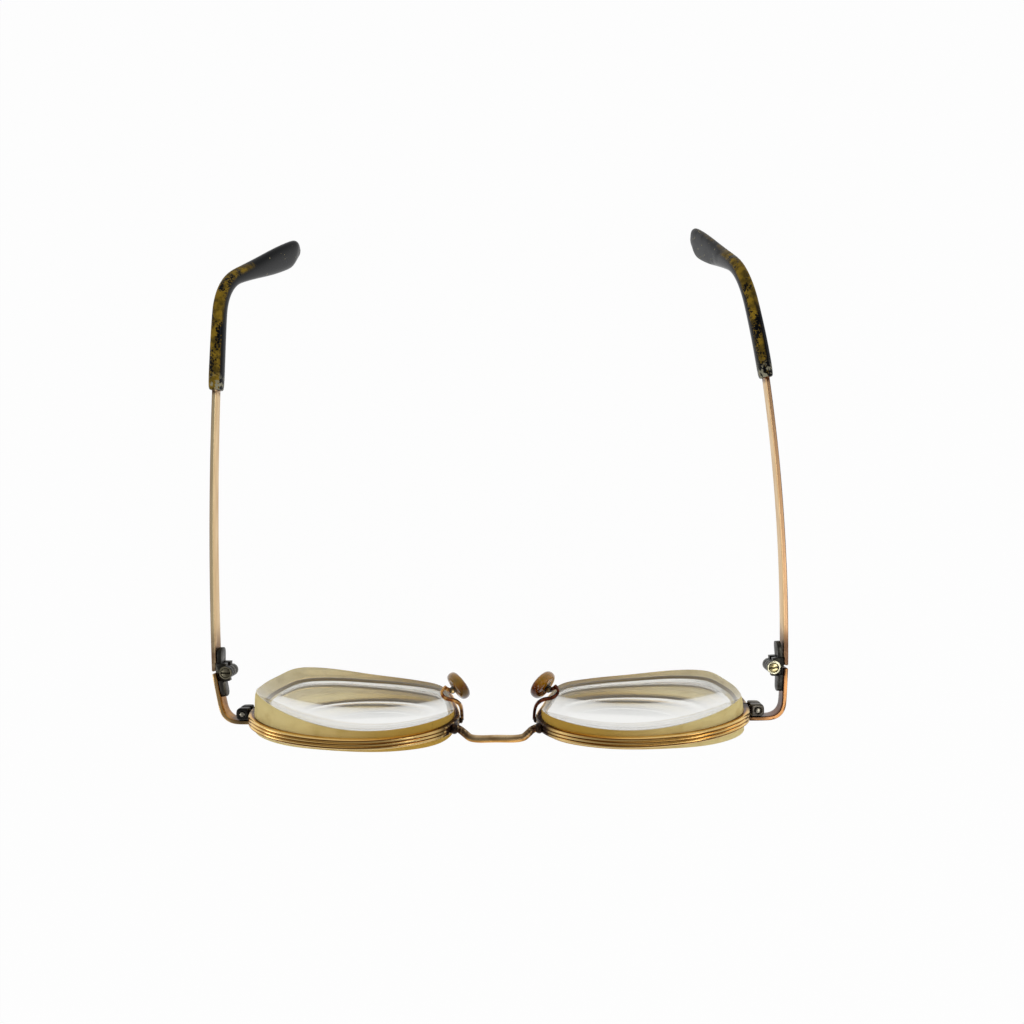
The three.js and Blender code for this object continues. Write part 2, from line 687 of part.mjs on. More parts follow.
// The end is the wire's end at the left rim, and away the direction in which it leaves that rim
function bridgeGeometry(end, away) {
  const half = [
    end,
    end.clone().addScaledVector(away, BRIDGE_STUB).add(new THREE.Vector3(0, -0.12 * BRIDGE_REACH, 0)),
    new THREE.Vector3((end.x - BRIDGE_STUB + BRIDGE_FLAT / 2) / 2, end.y - 0.6 * BRIDGE_REACH, 0),
    new THREE.Vector3(BRIDGE_FLAT / 2, end.y - BRIDGE_REACH, 0),
  ];
  const mirrored = half.map((point) => new THREE.Vector3(-point.x, point.y, 0)).reverse();
  const middle = new THREE.Vector3(0, end.y - BRIDGE_REACH, 0);
  const curve = new THREE.CatmullRomCurve3([...half, middle, ...mirrored]);
  const points = curve.getPoints(BRIDGE_STEPS);
  points.forEach((point) => {
    point.z = end.z + BRIDGE_ARCH * (1 - (point.x / end.x) ** 2);
  });
  const tangents = directions(points);
  tangents[0].copy(away);
  tangents[tangents.length - 1].set(away.x, -away.y, -away.z);
  return loft(sweepRings(points, tangents, () => ovalSection(BRIDGE_DEPTH, BRIDGE_HEIGHT, BRIDGE_FACES)));
}

// Nose pads. In the pad's frame X runs across it, Y up along it and Z to the nose.

const PIN_BACK = PAD_THICKNESS / 2 + PIN_STANDOFF;
const EAR_OUTER = ARM_HEIGHT / 2 + RUNNING_GAP + EAR_THICKNESS;

function padGeometry() {
  const rings = PAD_PROFILE.map(([level, share]) => Array.from({ length: PAD_STEPS }, (_, k) => {
    const angle = (k / PAD_STEPS) * 2 * Math.PI;
    const egg = 1 - PAD_EGG * Math.sin(angle);
    return new THREE.Vector3(
      (PAD_WIDTH / 2) * share * egg * Math.cos(angle),
      (PAD_LENGTH / 2) * share * Math.sin(angle),
      PAD_THICKNESS * level,
    );
  }));
  const recess = column(PAD_RECESS_RADIUS, -PAD_THICKNESS, PAD_RECESS_DEPTH - PAD_THICKNESS / 2);
  return cut(loft(rings), recess);
}

function mountGeometry() {
  const floor = -PAD_THICKNESS / 2;
  const base = column(PAD_RECESS_RADIUS - SOLDER_GAP, floor, floor + MOUNT_THICKNESS);
  const outline = new THREE.Shape();
  outline.moveTo(-EAR_RADIUS, PAD_THICKNESS / 2 - MOUNT_THICKNESS / 2);
  outline.lineTo(EAR_RADIUS, PAD_THICKNESS / 2 - MOUNT_THICKNESS / 2);
  outline.lineTo(EAR_RADIUS, PIN_BACK);
  outline.absarc(0, PIN_BACK, EAR_RADIUS, 0, Math.PI, false);
  const ear = plate(outline, EAR_OUTER - EAR_THICKNESS, EAR_OUTER, 0);
  ear.applyMatrix4(new THREE.Matrix4().makeBasis(
    new THREE.Vector3(1, 0, 0), new THREE.Vector3(0, 0, -1), new THREE.Vector3(0, 1, 0),
  ));
  const lowerEar = ear.clone().scale(1, -1, 1);
  return cut(join(base, ear, lowerEar), pinShape(PIN_RADIUS + RUNNING_GAP, 2 * (EAR_OUTER + CUT_PAST)));
}

// A cylinder on the pad's pin
function pinShape(radius, length) {
  return new THREE.CylinderGeometry(radius, radius, length, ROUND_STEPS).translate(0, 0, -PIN_BACK);
}

function pinGeometry() {
  const shankHalf = EAR_OUTER + SOLDER_GAP;
  const headHalf = shankHalf + PIN_HEAD_HEIGHT;
  const profile = [
    [0, -headHalf], [PIN_HEAD_RADIUS, -headHalf], [PIN_HEAD_RADIUS, -shankHalf], [PIN_RADIUS, -shankHalf],
    [PIN_RADIUS, shankHalf], [PIN_HEAD_RADIUS, shankHalf], [PIN_HEAD_RADIUS, headHalf], [0, headHalf],
  ];
  const turned = new THREE.LatheGeometry(profile.map(([r, h]) => new THREE.Vector2(r, h)), ROUND_STEPS);
  return turned.translate(0, 0, -PIN_BACK);
}

// The pad's directions: across, up along it, and to the nose
function padBasis() {
  const level = new THREE.Vector3(-Math.cos(PAD_SPLAY), Math.sin(PAD_SPLAY), 0);
  const up = new THREE.Vector3(0, 0, Math.cos(PAD_LEAN)).addScaledVector(level, Math.sin(PAD_LEAN));
  const nose = level.multiplyScalar(Math.cos(PAD_LEAN)).add(new THREE.Vector3(0, 0, -Math.sin(PAD_LEAN)));
  return new THREE.Matrix4().makeBasis(new THREE.Vector3().crossVectors(up, nose), up, nose);
}

// The arm, from the rim to an eye round the pad's pin. Where the pin is bent outwards, the arm eases into it.
function armGeometry(rimEnd, pin, basis, outwards) {
  const across = new THREE.Vector3().setFromMatrixColumn(basis, 0);
  const nose = new THREE.Vector3().setFromMatrixColumn(basis, 2);
  const approach = nose.multiplyScalar(-Math.cos(ARM_APPROACH)).addScaledVector(across, -Math.sin(ARM_APPROACH));
  const route = ARM_ROUTE.map(([x, y], i) => {
    const eased = outwards * (1 - i / (ARM_ROUTE.length - 1));
    return new THREE.Vector3(pin.x + x - eased, pin.y + y, 0);
  });
  const along = [rimEnd, ...route];
  along.forEach((point, i) => {
    point.z = THREE.MathUtils.lerp(rimEnd.z, pin.z, i / along.length);
  });
  const last = pin.clone().addScaledVector(approach, ARM_EYE_RADIUS - ARM_EDGE);
  const lead = last.clone().addScaledVector(approach, ARM_THICKNESS);
  const curve = new THREE.CatmullRomCurve3([...along, lead, last]);
  const points = curve.getPoints(ARM_STEPS);
  const strip = loft(sweepRings(points, directions(points), () => barSection(ARM_THICKNESS, ARM_HEIGHT, ARM_EDGE)));
  const place = basis.clone().setPosition(pin);
  const eye = new THREE.CylinderGeometry(ARM_EYE_RADIUS, ARM_EYE_RADIUS, ARM_HEIGHT, ROUND_STEPS).applyMatrix4(place);
  const bore = PIN_RADIUS + RUNNING_GAP;
  const hole = new THREE.CylinderGeometry(bore, bore, 4 * ARM_HEIGHT, ROUND_STEPS).applyMatrix4(place);
  return cut(join(strip, eye), hole);
}

// Assembly

function piece(name, geometry, material) {
  const mesh = new THREE.Mesh(geometry, material);
  mesh.name = name;
  return mesh;
}

function groupAt(position) {
  const group = new THREE.Group();
  group.position.copy(position);
  return group;
}

// The eye's frame is tilted, with its lower edge back, and wrapped, with its temple side back
function eyeGroup() {
  const eye = groupAt(new THREE.Vector3((LENS_DISTANCE + EYE_WIDTH) / 2, 0, 0));
  eye.rotation.set(EYE_TILT, 0, EYE_WRAP, 'ZXY');
  eye.updateMatrixWorld();
  return eye;
}

// How far the rim reaches towards the temple (+1) or the nose (-1)
function rimReach(eye, side) {
  const skin = rimSection().flatMap(([outwards, back]) => eyeRing(outwards, back));
  return side * Math.max(...skin.map((point) => side * eye.localToWorld(point).x));
}

function buildSide(name, settings) {
  const side = new THREE.Group();
  side.scale.x = settings.mirror;

  const eye = eyeGroup();
  eye.add(piece(`${name}_rim`, rimGeometry(), MATERIALS.gold));
  eye.add(piece(`${name}_lens`, lensGeometry(settings.lensBackRadius, settings.lensSlant), MATERIALS.glass));
  const block = eye.localToWorld(rimPoint(1, BLOCK_RISE, RIM_CREST));
  block.x = rimReach(eye, 1) + SOLDER_GAP + BLOCK_WIDTH / 2;
  const armRoot = eye.localToWorld(rimPoint(-1, ARM_RISE, RIM_CREST + SOLDER_GAP + ARM_THICKNESS / 2));
  side.add(eye);

  const closing = groupAt(block);
  closing.add(piece(`${name}_upper_block`, upperBlock(), MATERIALS.darkMetal));
  closing.add(piece(`${name}_lower_block`, lowerBlock(), MATERIALS.darkMetal));
  closing.add(piece(`${name}_closing_screw`, closingScrew(), MATERIALS.screwMetal));
  side.add(closing);

  const hingeAt = new THREE.Vector3(block.x + ENDPIECE_REACH - BLOCK_WIDTH / 2, block.y + ENDPIECE_DEPTH, block.z);
  const hinge = groupAt(hingeAt);
  const [start, corner, end] = endpieceCorners(block.clone().sub(hingeAt), settings.endpieceCorner);
  hinge.add(piece(`${name}_endpiece`, endpieceGeometry([start, corner, end]), MATERIALS.bronze));
  const frontLeaf = piece(`${name}_front_leaf`, leafGeometry(-1, [0]), MATERIALS.darkMetal);
  frontLeaf.rotation.z = -Math.atan2(end.x - corner.x, end.y - corner.y);
  hinge.add(frontLeaf);
  side.add(hinge);

  const temple = groupAt(hingeAt);
  temple.rotation.z = settings.templeLean;
  temple.add(piece(`${name}_temple_leaf`, leafGeometry(1, [-1, 1]), MATERIALS.darkMetal));
  temple.add(piece(`${name}_hinge_screw`, hingeScrew(), MATERIALS.screwMetal));
  temple.add(piece(`${name}_temple`, barGeometry(settings, 0, BUTT_GAP / 2), MATERIALS.champagne));
  temple.add(piece(`${name}_temple_tip`, tipGeometry(settings), MATERIALS.black));
  side.add(temple);

  const pin = armRoot.clone().add(new THREE.Vector3(PIN_OUTWARDS + settings.padOutwards, PIN_BEHIND, -PIN_BELOW));
  const basis = padBasis();
  side.add(piece(`${name}_pad_arm`, armGeometry(armRoot, pin, basis, settings.padOutwards), MATERIALS.bronze));
  const pad = new THREE.Group();
  pad.quaternion.setFromRotationMatrix(basis);
  pad.position.set(0, 0, PIN_BACK).applyQuaternion(pad.quaternion).add(pin);
  pad.add(piece(`${name}_nose_pad`, padGeometry(), MATERIALS.amber));
  pad.add(piece(`${name}_pad_mount`, mountGeometry(), MATERIALS.darkMetal));
  pad.add(piece(`${name}_pad_pin`, pinGeometry(), MATERIALS.screwMetal));
  side.add(pad);
  return side;
}

function buildBridge() {
  const eye = eyeGroup();
  const above = rimPoint(-1, BRIDGE_RISE + BRIDGE_HEIGHT / 2, RIM_CREST);
  const below = rimPoint(-1, BRIDGE_RISE - BRIDGE_HEIGHT / 2, RIM_CREST);
  const along = above.sub(below);
  const away = new THREE.Vector3(-along.z, 0, along.x).normalize();
  const joint = rimPoint(-1, BRIDGE_RISE, RIM_CREST).addScaledVector(away, SOLDER_GAP);
  const geometry = bridgeGeometry(eye.localToWorld(joint), away.transformDirection(eye.matrixWorld));
  return piece('bridge', geometry, MATERIALS.bronze);
}

const eyeglasses = new THREE.Group();
Object.entries(SIDES).forEach(([name, settings]) => eyeglasses.add(buildSide(name, settings)));
eyeglasses.add(buildBridge());

// The points of both sides' pieces of one kind
function pointsOf(whole, ending) {
  whole.updateMatrixWorld(true);
  return Object.keys(SIDES).flatMap((side) => {
    const mesh = whole.getObjectByName(`${side}_${ending}`);
    const position = mesh.geometry.getAttribute('position');
    return Array.from({ length: position.count }, (_, i) => mesh.localToWorld(
      new THREE.Vector3().fromBufferAttribute(position, i),
    ));
  });
}

// The pitch at which the rims and the tips rest on one level
function restingPitch(whole) {
  const rims = pointsOf(whole, 'rim');
  const tips = pointsOf(whole, 'temple_tip');
  const lowest = (points, pitch) => points.reduce(
    (low, { y, z }) => Math.min(low, y * Math.sin(pitch) + z * Math.cos(pitch)), Infinity,
  );
  let low = radians(-30);
  let high = radians(30);
  for (let halving = 0; halving < 40; halving += 1) {
    const pitch = (low + high) / 2;
    if (lowest(tips, pitch) < lowest(rims, pitch)) {
      low = pitch;
    } else {
      high = pitch;
    }
  }
  return (low + high) / 2;
}

// The frame stands on its rims and tips, with the origin under the middle of its box
eyeglasses.rotation.x = restingPitch(eyeglasses);
eyeglasses.updateMatrixWorld(true);
const box = new THREE.Box3().setFromObject(eyeglasses, true);
const middle = box.getCenter(new THREE.Vector3());
eyeglasses.position.set(-middle.x, -middle.y, -box.min.z);

export default eyeglasses;
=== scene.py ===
"""A worn pair of full-rim metal eyeglasses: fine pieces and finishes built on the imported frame."""

import json
import math

import bpy
import numpy as np
from mathutils import Matrix, Vector


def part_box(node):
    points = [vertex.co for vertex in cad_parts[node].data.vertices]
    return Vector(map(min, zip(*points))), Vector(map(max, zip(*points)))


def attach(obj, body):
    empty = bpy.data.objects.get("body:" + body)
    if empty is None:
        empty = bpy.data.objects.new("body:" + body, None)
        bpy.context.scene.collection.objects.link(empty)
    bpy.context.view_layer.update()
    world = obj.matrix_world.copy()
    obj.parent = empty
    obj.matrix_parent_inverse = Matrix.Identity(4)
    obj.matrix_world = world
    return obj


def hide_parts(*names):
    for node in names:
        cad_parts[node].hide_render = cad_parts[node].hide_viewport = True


# A millimetre in metres. Sizes are in millimetres where no comment says otherwise
MM = 0.001

# The camera: its place from the middle between the tops of the two hinges, with their axis upright,
# its turns in degrees, its focal length and its picture's width in pixels, its sensor and its nearest sight
CAMERA_PLACE = (11.86, 42.03, 199.28)
CAMERA_TURN = (0.98, -2.11, 0.97)
FOCAL_PIXELS = 820.4
IMAGE_PIXELS = 1024
SENSOR = 36
CLIP_START = 5

# How far the top of a hinge lies above its joint's middle
HINGE_TOP = 2.25

# How much of a wire's end counts as its end
END_DEPTH = 0.5

# How the copies of the frame's nodes are refined: the distance at which points merge, how far two triangles
# may tilt and skew to make a pair, what counts as flat, and what is shaded smooth
MERGE_DISTANCE = 0.001
QUAD_ANGLE = math.radians(40)
QUAD_SKEW = math.pi
FLAT_ANGLE = math.radians(1)
SMOOTH_ANGLE = math.radians(32)

# How often rounded pieces, lenses and lumps of solder are subdivided, and the facets across a bevel
ROUND_LEVELS = 2
LENS_LEVELS = 3
SOLDER_LEVELS = 1
BEVEL_FACETS = 2

# For pieces with rounded bends: the least turn of an edge that stays a corner, in degrees,
# and how sharp it stays
CORNERS = {
    "bridge": (60, 0.9),
    "rim": (34, 0.7),
    "endpiece": (34, 0.85),
    "pad_arm": (34, 0.8),
    "temple": (34, 0.85),
    "temple_tip": (70, 0.25),
    "nose_pad": (60, 0.6),
}

# For machined pieces: the width of the bevel that breaks their edges
EASED_EDGES = {
    "closing_screw": 0.1,
    "front_leaf": 0.15,
    "temple_leaf": 0.15,
    "hinge_screw": 0.08,
    "pad_mount": 0.1,
    "pad_pin": 0.08,
}

# A lens's two materials, and how squarely a face looks forwards or back if it is polished
POLISHED = 0
GROUND = 1
POLISHED_SLOPE = 0.7

# The chamfer on a lens's back border: its width, its least share of it, where it starts to grow,
# and how far it takes to reach full width
CHAMFER = 1.5
CHAMFER_LEAST = 0.12
CHAMFER_START = 4
CHAMFER_RUN = 18

# The radius of the curve that the rims follow, how far their outside stands off it,
# the pitch of their ridges, and how far from a ridge's top it is pale with a painted highlight, in between, and
# brown
RIM_CURVE = 100
RIM_STAND_OFF = 0.335
RIDGE_PITCH = 0.8
RIDGE_CREST = 0.14
RIDGE_FLANK = 0.26
RIDGE_VALLEY = 0.37

# How far from that curve the lens's edge carries painted shade inside the rim, and where that painted shade ends
GROOVE_DARK = 0.6
GROOVE_END = 0.8

# How blocks are worn round: the grain of their mesh, and how hard and how often it is smoothed
LUMP_GRAIN = 0.1
LUMP_SMOOTHING = 0.5
LUMP_PASSES = 80

# Half sizes of the lumps of solder, how far those at the bridge slant and those at the pad arms
# lie towards the rim, and how uneven they are, drawn from a seed
BRIDGE_SOLDER = (1.1, 1.35, 1.35)
BRIDGE_SLANT = math.radians(15)
ARM_SOLDER = (0.55, 0.8, 1.0)
ARM_SOLDER_OUT = 0.3
BLOCK_SOLDER = (0.5, 1.1, 0.9)
SOLDER_LUMPS = 0.07
SOLDER_SEED = 3

# How strongly the lenses' glass and the pads' plastic bend light
GLASS_IOR = 1.53
PLASTIC_IOR = 1.49

# How bright the room is at its walls and straight above, at which steepness, from 0 level to 1 upright,
# the walls start to fade and the ceiling is reached, and how white the background is
WALL_LIGHT = 0.7
CEILING_LIGHT = 0.2
WALL_TOP = 0.3
CEILING_START = 0.97
BACKGROUND = 0.96

# The floor's size and the lamps' places, widths and heights, in metres, the point that they shine at,
# and how many times as bright as a white sheet each is; left and right are the picture's
FLOOR_SIZE = 6
LAMP_AIM = (0, -0.02, 0.02)
LAMPS = {
    "lamp_above": ((0.34, -0.21, 0.72), 0.45, 0.22, 3.2),
    "lamp_front": ((0.25, -0.75, 0.5), 0.5, 0.2, 2.5),
    "lamp_left": ((-0.69, -0.2, 0.42), 0.3, 0.4, 2.6),
    "lamp_right": ((0.8, 0.2, 0.35), 0.2, 0.35, 2.2),
}

# The wearer's sides, and the way that each lies along X
SIDES = {"right": -1, "left": 1}

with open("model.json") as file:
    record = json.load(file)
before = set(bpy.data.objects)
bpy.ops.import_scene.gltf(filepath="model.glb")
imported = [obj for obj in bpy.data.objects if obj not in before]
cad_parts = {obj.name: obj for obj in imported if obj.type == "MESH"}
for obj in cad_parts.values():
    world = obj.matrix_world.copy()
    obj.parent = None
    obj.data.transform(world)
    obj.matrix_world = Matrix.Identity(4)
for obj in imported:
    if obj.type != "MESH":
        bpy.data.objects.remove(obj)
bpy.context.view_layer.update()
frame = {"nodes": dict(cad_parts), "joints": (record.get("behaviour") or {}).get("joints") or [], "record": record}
bpy.ops.object.select_all(action="DESELECT")

BODIES = frame["record"]["behaviour"]["bodies"]
BODY_OF = {node: body for body, nodes in BODIES.items() for node in nodes}
JOINTS = {joint["name"]: joint for joint in frame["joints"]}


def shade(red, green, blue):
    """A colour written as screen values from 0 to 255, as the shaders take it."""
    def linear(value):
        share = value / 255
        return share / 12.92 if share <= 0.04045 else ((share + 0.055) / 1.055) ** 2.4
    return (linear(red), linear(green), linear(blue), 1)


def middle(node):
    """The middle of a node's box."""
    low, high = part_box(node)
    return (low + high) / 2


def kind_of(node):
    """A node's name without its side."""
    return node.removeprefix("right_").removeprefix("left_")


def end_middle(node, axis, sign):
    """The middle of a node's end: of its points within a little of its furthest one along an axis."""
    points = [vertex.co.copy() for vertex in frame["nodes"][node].data.vertices]
    furthest = max(sign * point[axis] for point in points)
    ending = [point for point in points if sign * point[axis] > furthest - END_DEPTH * MM]
    return sum(ending, Vector()) / len(ending)


def bridge_end(side):
    """Where the bridge meets a rim."""
    return end_middle("bridge", 0, SIDES[side])


def arm_root(side):
    """Where a pad arm meets its rim."""
    return end_middle(side + "_pad_arm", 1, -1)


# Shaping


def pick(piece):
    """Makes a piece the only selected and active one."""
    bpy.ops.object.select_all(action="DESELECT")
    piece.select_set(True)
    bpy.context.view_layer.objects.active = piece


def finish_with(piece, kind, **settings):
    """Adds a modifier with these settings and applies it."""
    modifier = piece.modifiers.new(kind.lower(), kind)
    for setting, value in settings.items():
        setattr(modifier, setting, value)
    pick(piece)
    bpy.ops.object.modifier_apply(modifier=modifier.name)


def change_whole(piece, operator, **settings):
    """Runs one mesh operator on the whole of a piece."""
    pick(piece)
    bpy.ops.object.mode_set(mode="EDIT")
    bpy.ops.mesh.select_all(action="SELECT")
    operator(**settings)
    bpy.ops.object.mode_set(mode="OBJECT")


def copy_node(node):
    """A copy of a node with its loose triangles merged."""
    piece = bpy.data.objects.new("fine_" + node, frame["nodes"][node].data.copy())
    bpy.context.collection.objects.link(piece)
    piece.data.materials.clear()
    pick(piece)
    bpy.ops.mesh.customdata_custom_splitnormals_clear()
    change_whole(piece, bpy.ops.mesh.remove_doubles, threshold=MERGE_DISTANCE * MM)
    return piece


def pair_triangles(piece):
    """Turns the triangles of a copy into four-sided faces, which subdivide evenly."""
    limits = {"face_threshold": QUAD_ANGLE, "shape_threshold": QUAD_SKEW}
    change_whole(piece, bpy.ops.mesh.tris_convert_to_quads, **limits)


def smooth(piece):
    """Smooth shading that keeps the sharp edges."""
    pick(piece)
    bpy.ops.object.shade_smooth_by_angle(angle=SMOOTH_ANGLE)


def crease_corners(piece, angle, sharpness):
    """Keeps the edges that turn by more than an angle, in degrees, when the piece is subdivided."""
    pick(piece)
    bpy.ops.object.mode_set(mode="EDIT")
    bpy.ops.mesh.select_mode(type="EDGE")
    bpy.ops.mesh.select_all(action="DESELECT")
    bpy.ops.mesh.edges_select_sharp(sharpness=math.radians(angle))
    bpy.ops.object.mode_set(mode="OBJECT")
    creases = piece.data.attributes.new("crease_edge", "FLOAT", "EDGE")
    for edge in piece.data.edges:
        if edge.select:
            creases.data[edge.index].value = sharpness


def rounded_copy(node):
    """A copy with its bends rounded by subdivision and its corners kept."""
    piece = copy_node(node)
    pair_triangles(piece)
    crease_corners(piece, *CORNERS[kind_of(node)])
    finish_with(piece, "SUBSURF", levels=ROUND_LEVELS, render_levels=ROUND_LEVELS)
    smooth(piece)
    return piece


def lump_copy(node):
    """A copy with its corners worn round, as on a small cast block."""
    piece = copy_node(node)
    finish_with(piece, "REMESH", mode="VOXEL", voxel_size=LUMP_GRAIN * MM)
    finish_with(piece, "SMOOTH", factor=LUMP_SMOOTHING, iterations=LUMP_PASSES)
    smooth(piece)
    return piece


def eased_copy(node):
    """A copy with its machined edges broken by a small bevel."""
    piece = copy_node(node)
    change_whole(piece, bpy.ops.mesh.dissolve_limited, angle_limit=FLAT_ANGLE)
    width = EASED_EDGES[kind_of(node)] * MM
    edges = {"limit_method": "ANGLE", "angle_limit": SMOOTH_ANGLE}
    finish_with(piece, "BEVEL", width=width, segments=BEVEL_FACETS, **edges)
    smooth(piece)
    return piece


def dress(piece, node, *finishes):
    """Gives a copy its finish, its body and its slot, in place of the node."""
    for finish in finishes:
        piece.data.materials.append(finish)
    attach(piece, BODY_OF[node])
    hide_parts(node)


def fitted_sphere(points):
    """The middle and radius of the sphere that passes closest to the points."""
    places = np.array(points)
    table = np.hstack([2 * places, np.ones((len(places), 1))])
    answer = np.linalg.lstsq(table, (places ** 2).sum(1), rcond=None)[0]
    centre = Vector(answer[:3])
    return centre, math.sqrt(answer[3] + centre.length_squared)


def rim_curve_centre(side):
    """The middle of the ball whose curve the rim follows."""
    places = np.array([vertex.co[:] for vertex in frame["nodes"][side + "_rim"].data.vertices])
    centre = places.mean(0)
    axis = np.linalg.svd(places - centre)[2][2]
    axis = axis * np.sign(axis[1])
    spread = ((places - centre) ** 2).sum(1).mean()
    return Vector(centre + axis * math.sqrt((RIM_CURVE * MM) ** 2 - spread))


def onto_sphere(point, direction, centre, radius):
    """A point moved along a direction, by the shorter way, onto a sphere."""
    offset = point - centre
    along = offset.dot(direction)
    reach = math.sqrt(max(along * along - offset.length_squared + radius * radius, 0))
    step = min(reach - along, -reach - along, key=abs)
    return point + direction * step


def boundary_edges(mesh):
    """The edges between the polished faces and the ground edge, each with its polished face."""
    faces = {}
    for face in mesh.polygons:
        for key in face.edge_keys:
            faces.setdefault(key, []).append(face)
    borders = {}
    for key, pair in faces.items():
        if len({face.material_index for face in pair}) > 1:
            borders[key] = min(pair, key=lambda face: face.material_index)
    return borders


def lens_back(mesh):
    """The direction that a lens's hollow face looks in."""
    back = Vector()
    for face in mesh.polygons:
        if abs(face.normal.y) > POLISHED_SLOPE:
            back += face.normal * face.area * math.copysign(1, face.normal.y)
    return back.normalized()


def mark_polished(mesh, back):
    """Gives a lens's faces their materials. Returns the spheres of its front (-1) and its back (1)."""
    points = {-1: [], 1: []}
    for face in mesh.polygons:
        slope = face.normal.dot(back)
        face.material_index = POLISHED if abs(slope) > POLISHED_SLOPE else GROUND
        if face.material_index == POLISHED:
            points[math.copysign(1, slope)] += [mesh.vertices[index].co[:] for index in face.vertices]
    return {facing: fitted_sphere(places) for facing, places in points.items()}


def chamfer_back(piece, side, back):
    """Chamfers the back border of a lens, barely at the nose and fully at the temple."""
    mesh = piece.data
    start = middle(side + "_lens").x * SIDES[side] + CHAMFER_START * MM
    borders = boundary_edges(mesh)
    weights = mesh.attributes.new("bevel_weight_edge", "FLOAT", "EDGE")
    for edge in mesh.edges:
        if edge.key in borders and borders[edge.key].normal.dot(back) > 0:
            reach = sum(mesh.vertices[index].co.x for index in edge.key) / 2 * SIDES[side]
            share = (reach - start) / (CHAMFER_RUN * MM)
            weights.data[edge.index].value = min(max(share, CHAMFER_LEAST), 1)
    edges = {"limit_method": "WEIGHT", "material": GROUND}
    finish_with(piece, "BEVEL", width=CHAMFER * MM, segments=BEVEL_FACETS, **edges)


def refine_lens(piece, back, spheres):
    """Subdivides a lens with its borders kept, and moves its polished faces onto their spheres."""
    mesh = piece.data
    borders = boundary_edges(mesh)
    creases = mesh.attributes.new("crease_edge", "FLOAT", "EDGE")
    for edge in mesh.edges:
        if edge.key in borders:
            creases.data[edge.index].value = 1
    finish_with(piece, "SUBSURF", levels=LENS_LEVELS, render_levels=LENS_LEVELS)
    moved = {}
    for face in mesh.polygons:
        if face.material_index == POLISHED:
            facing = math.copysign(1, face.normal.dot(back))
            for index in face.vertices:
                moved[index] = facing
    for index, facing in moved.items():
        vertex = mesh.vertices[index]
        vertex.co = onto_sphere(vertex.co, back, *spheres[facing])


def lens_piece(side):
    """A lens with two polished faces and a ground edge, chamfered at the back by the temple."""
    piece = copy_node(side + "_lens")
    pair_triangles(piece)
    back = lens_back(piece.data)
    spheres = mark_polished(piece.data, back)
    chamfer_back(piece, side, back)
    refine_lens(piece, back, spheres)
    smooth(piece)
    return piece


# Finishes


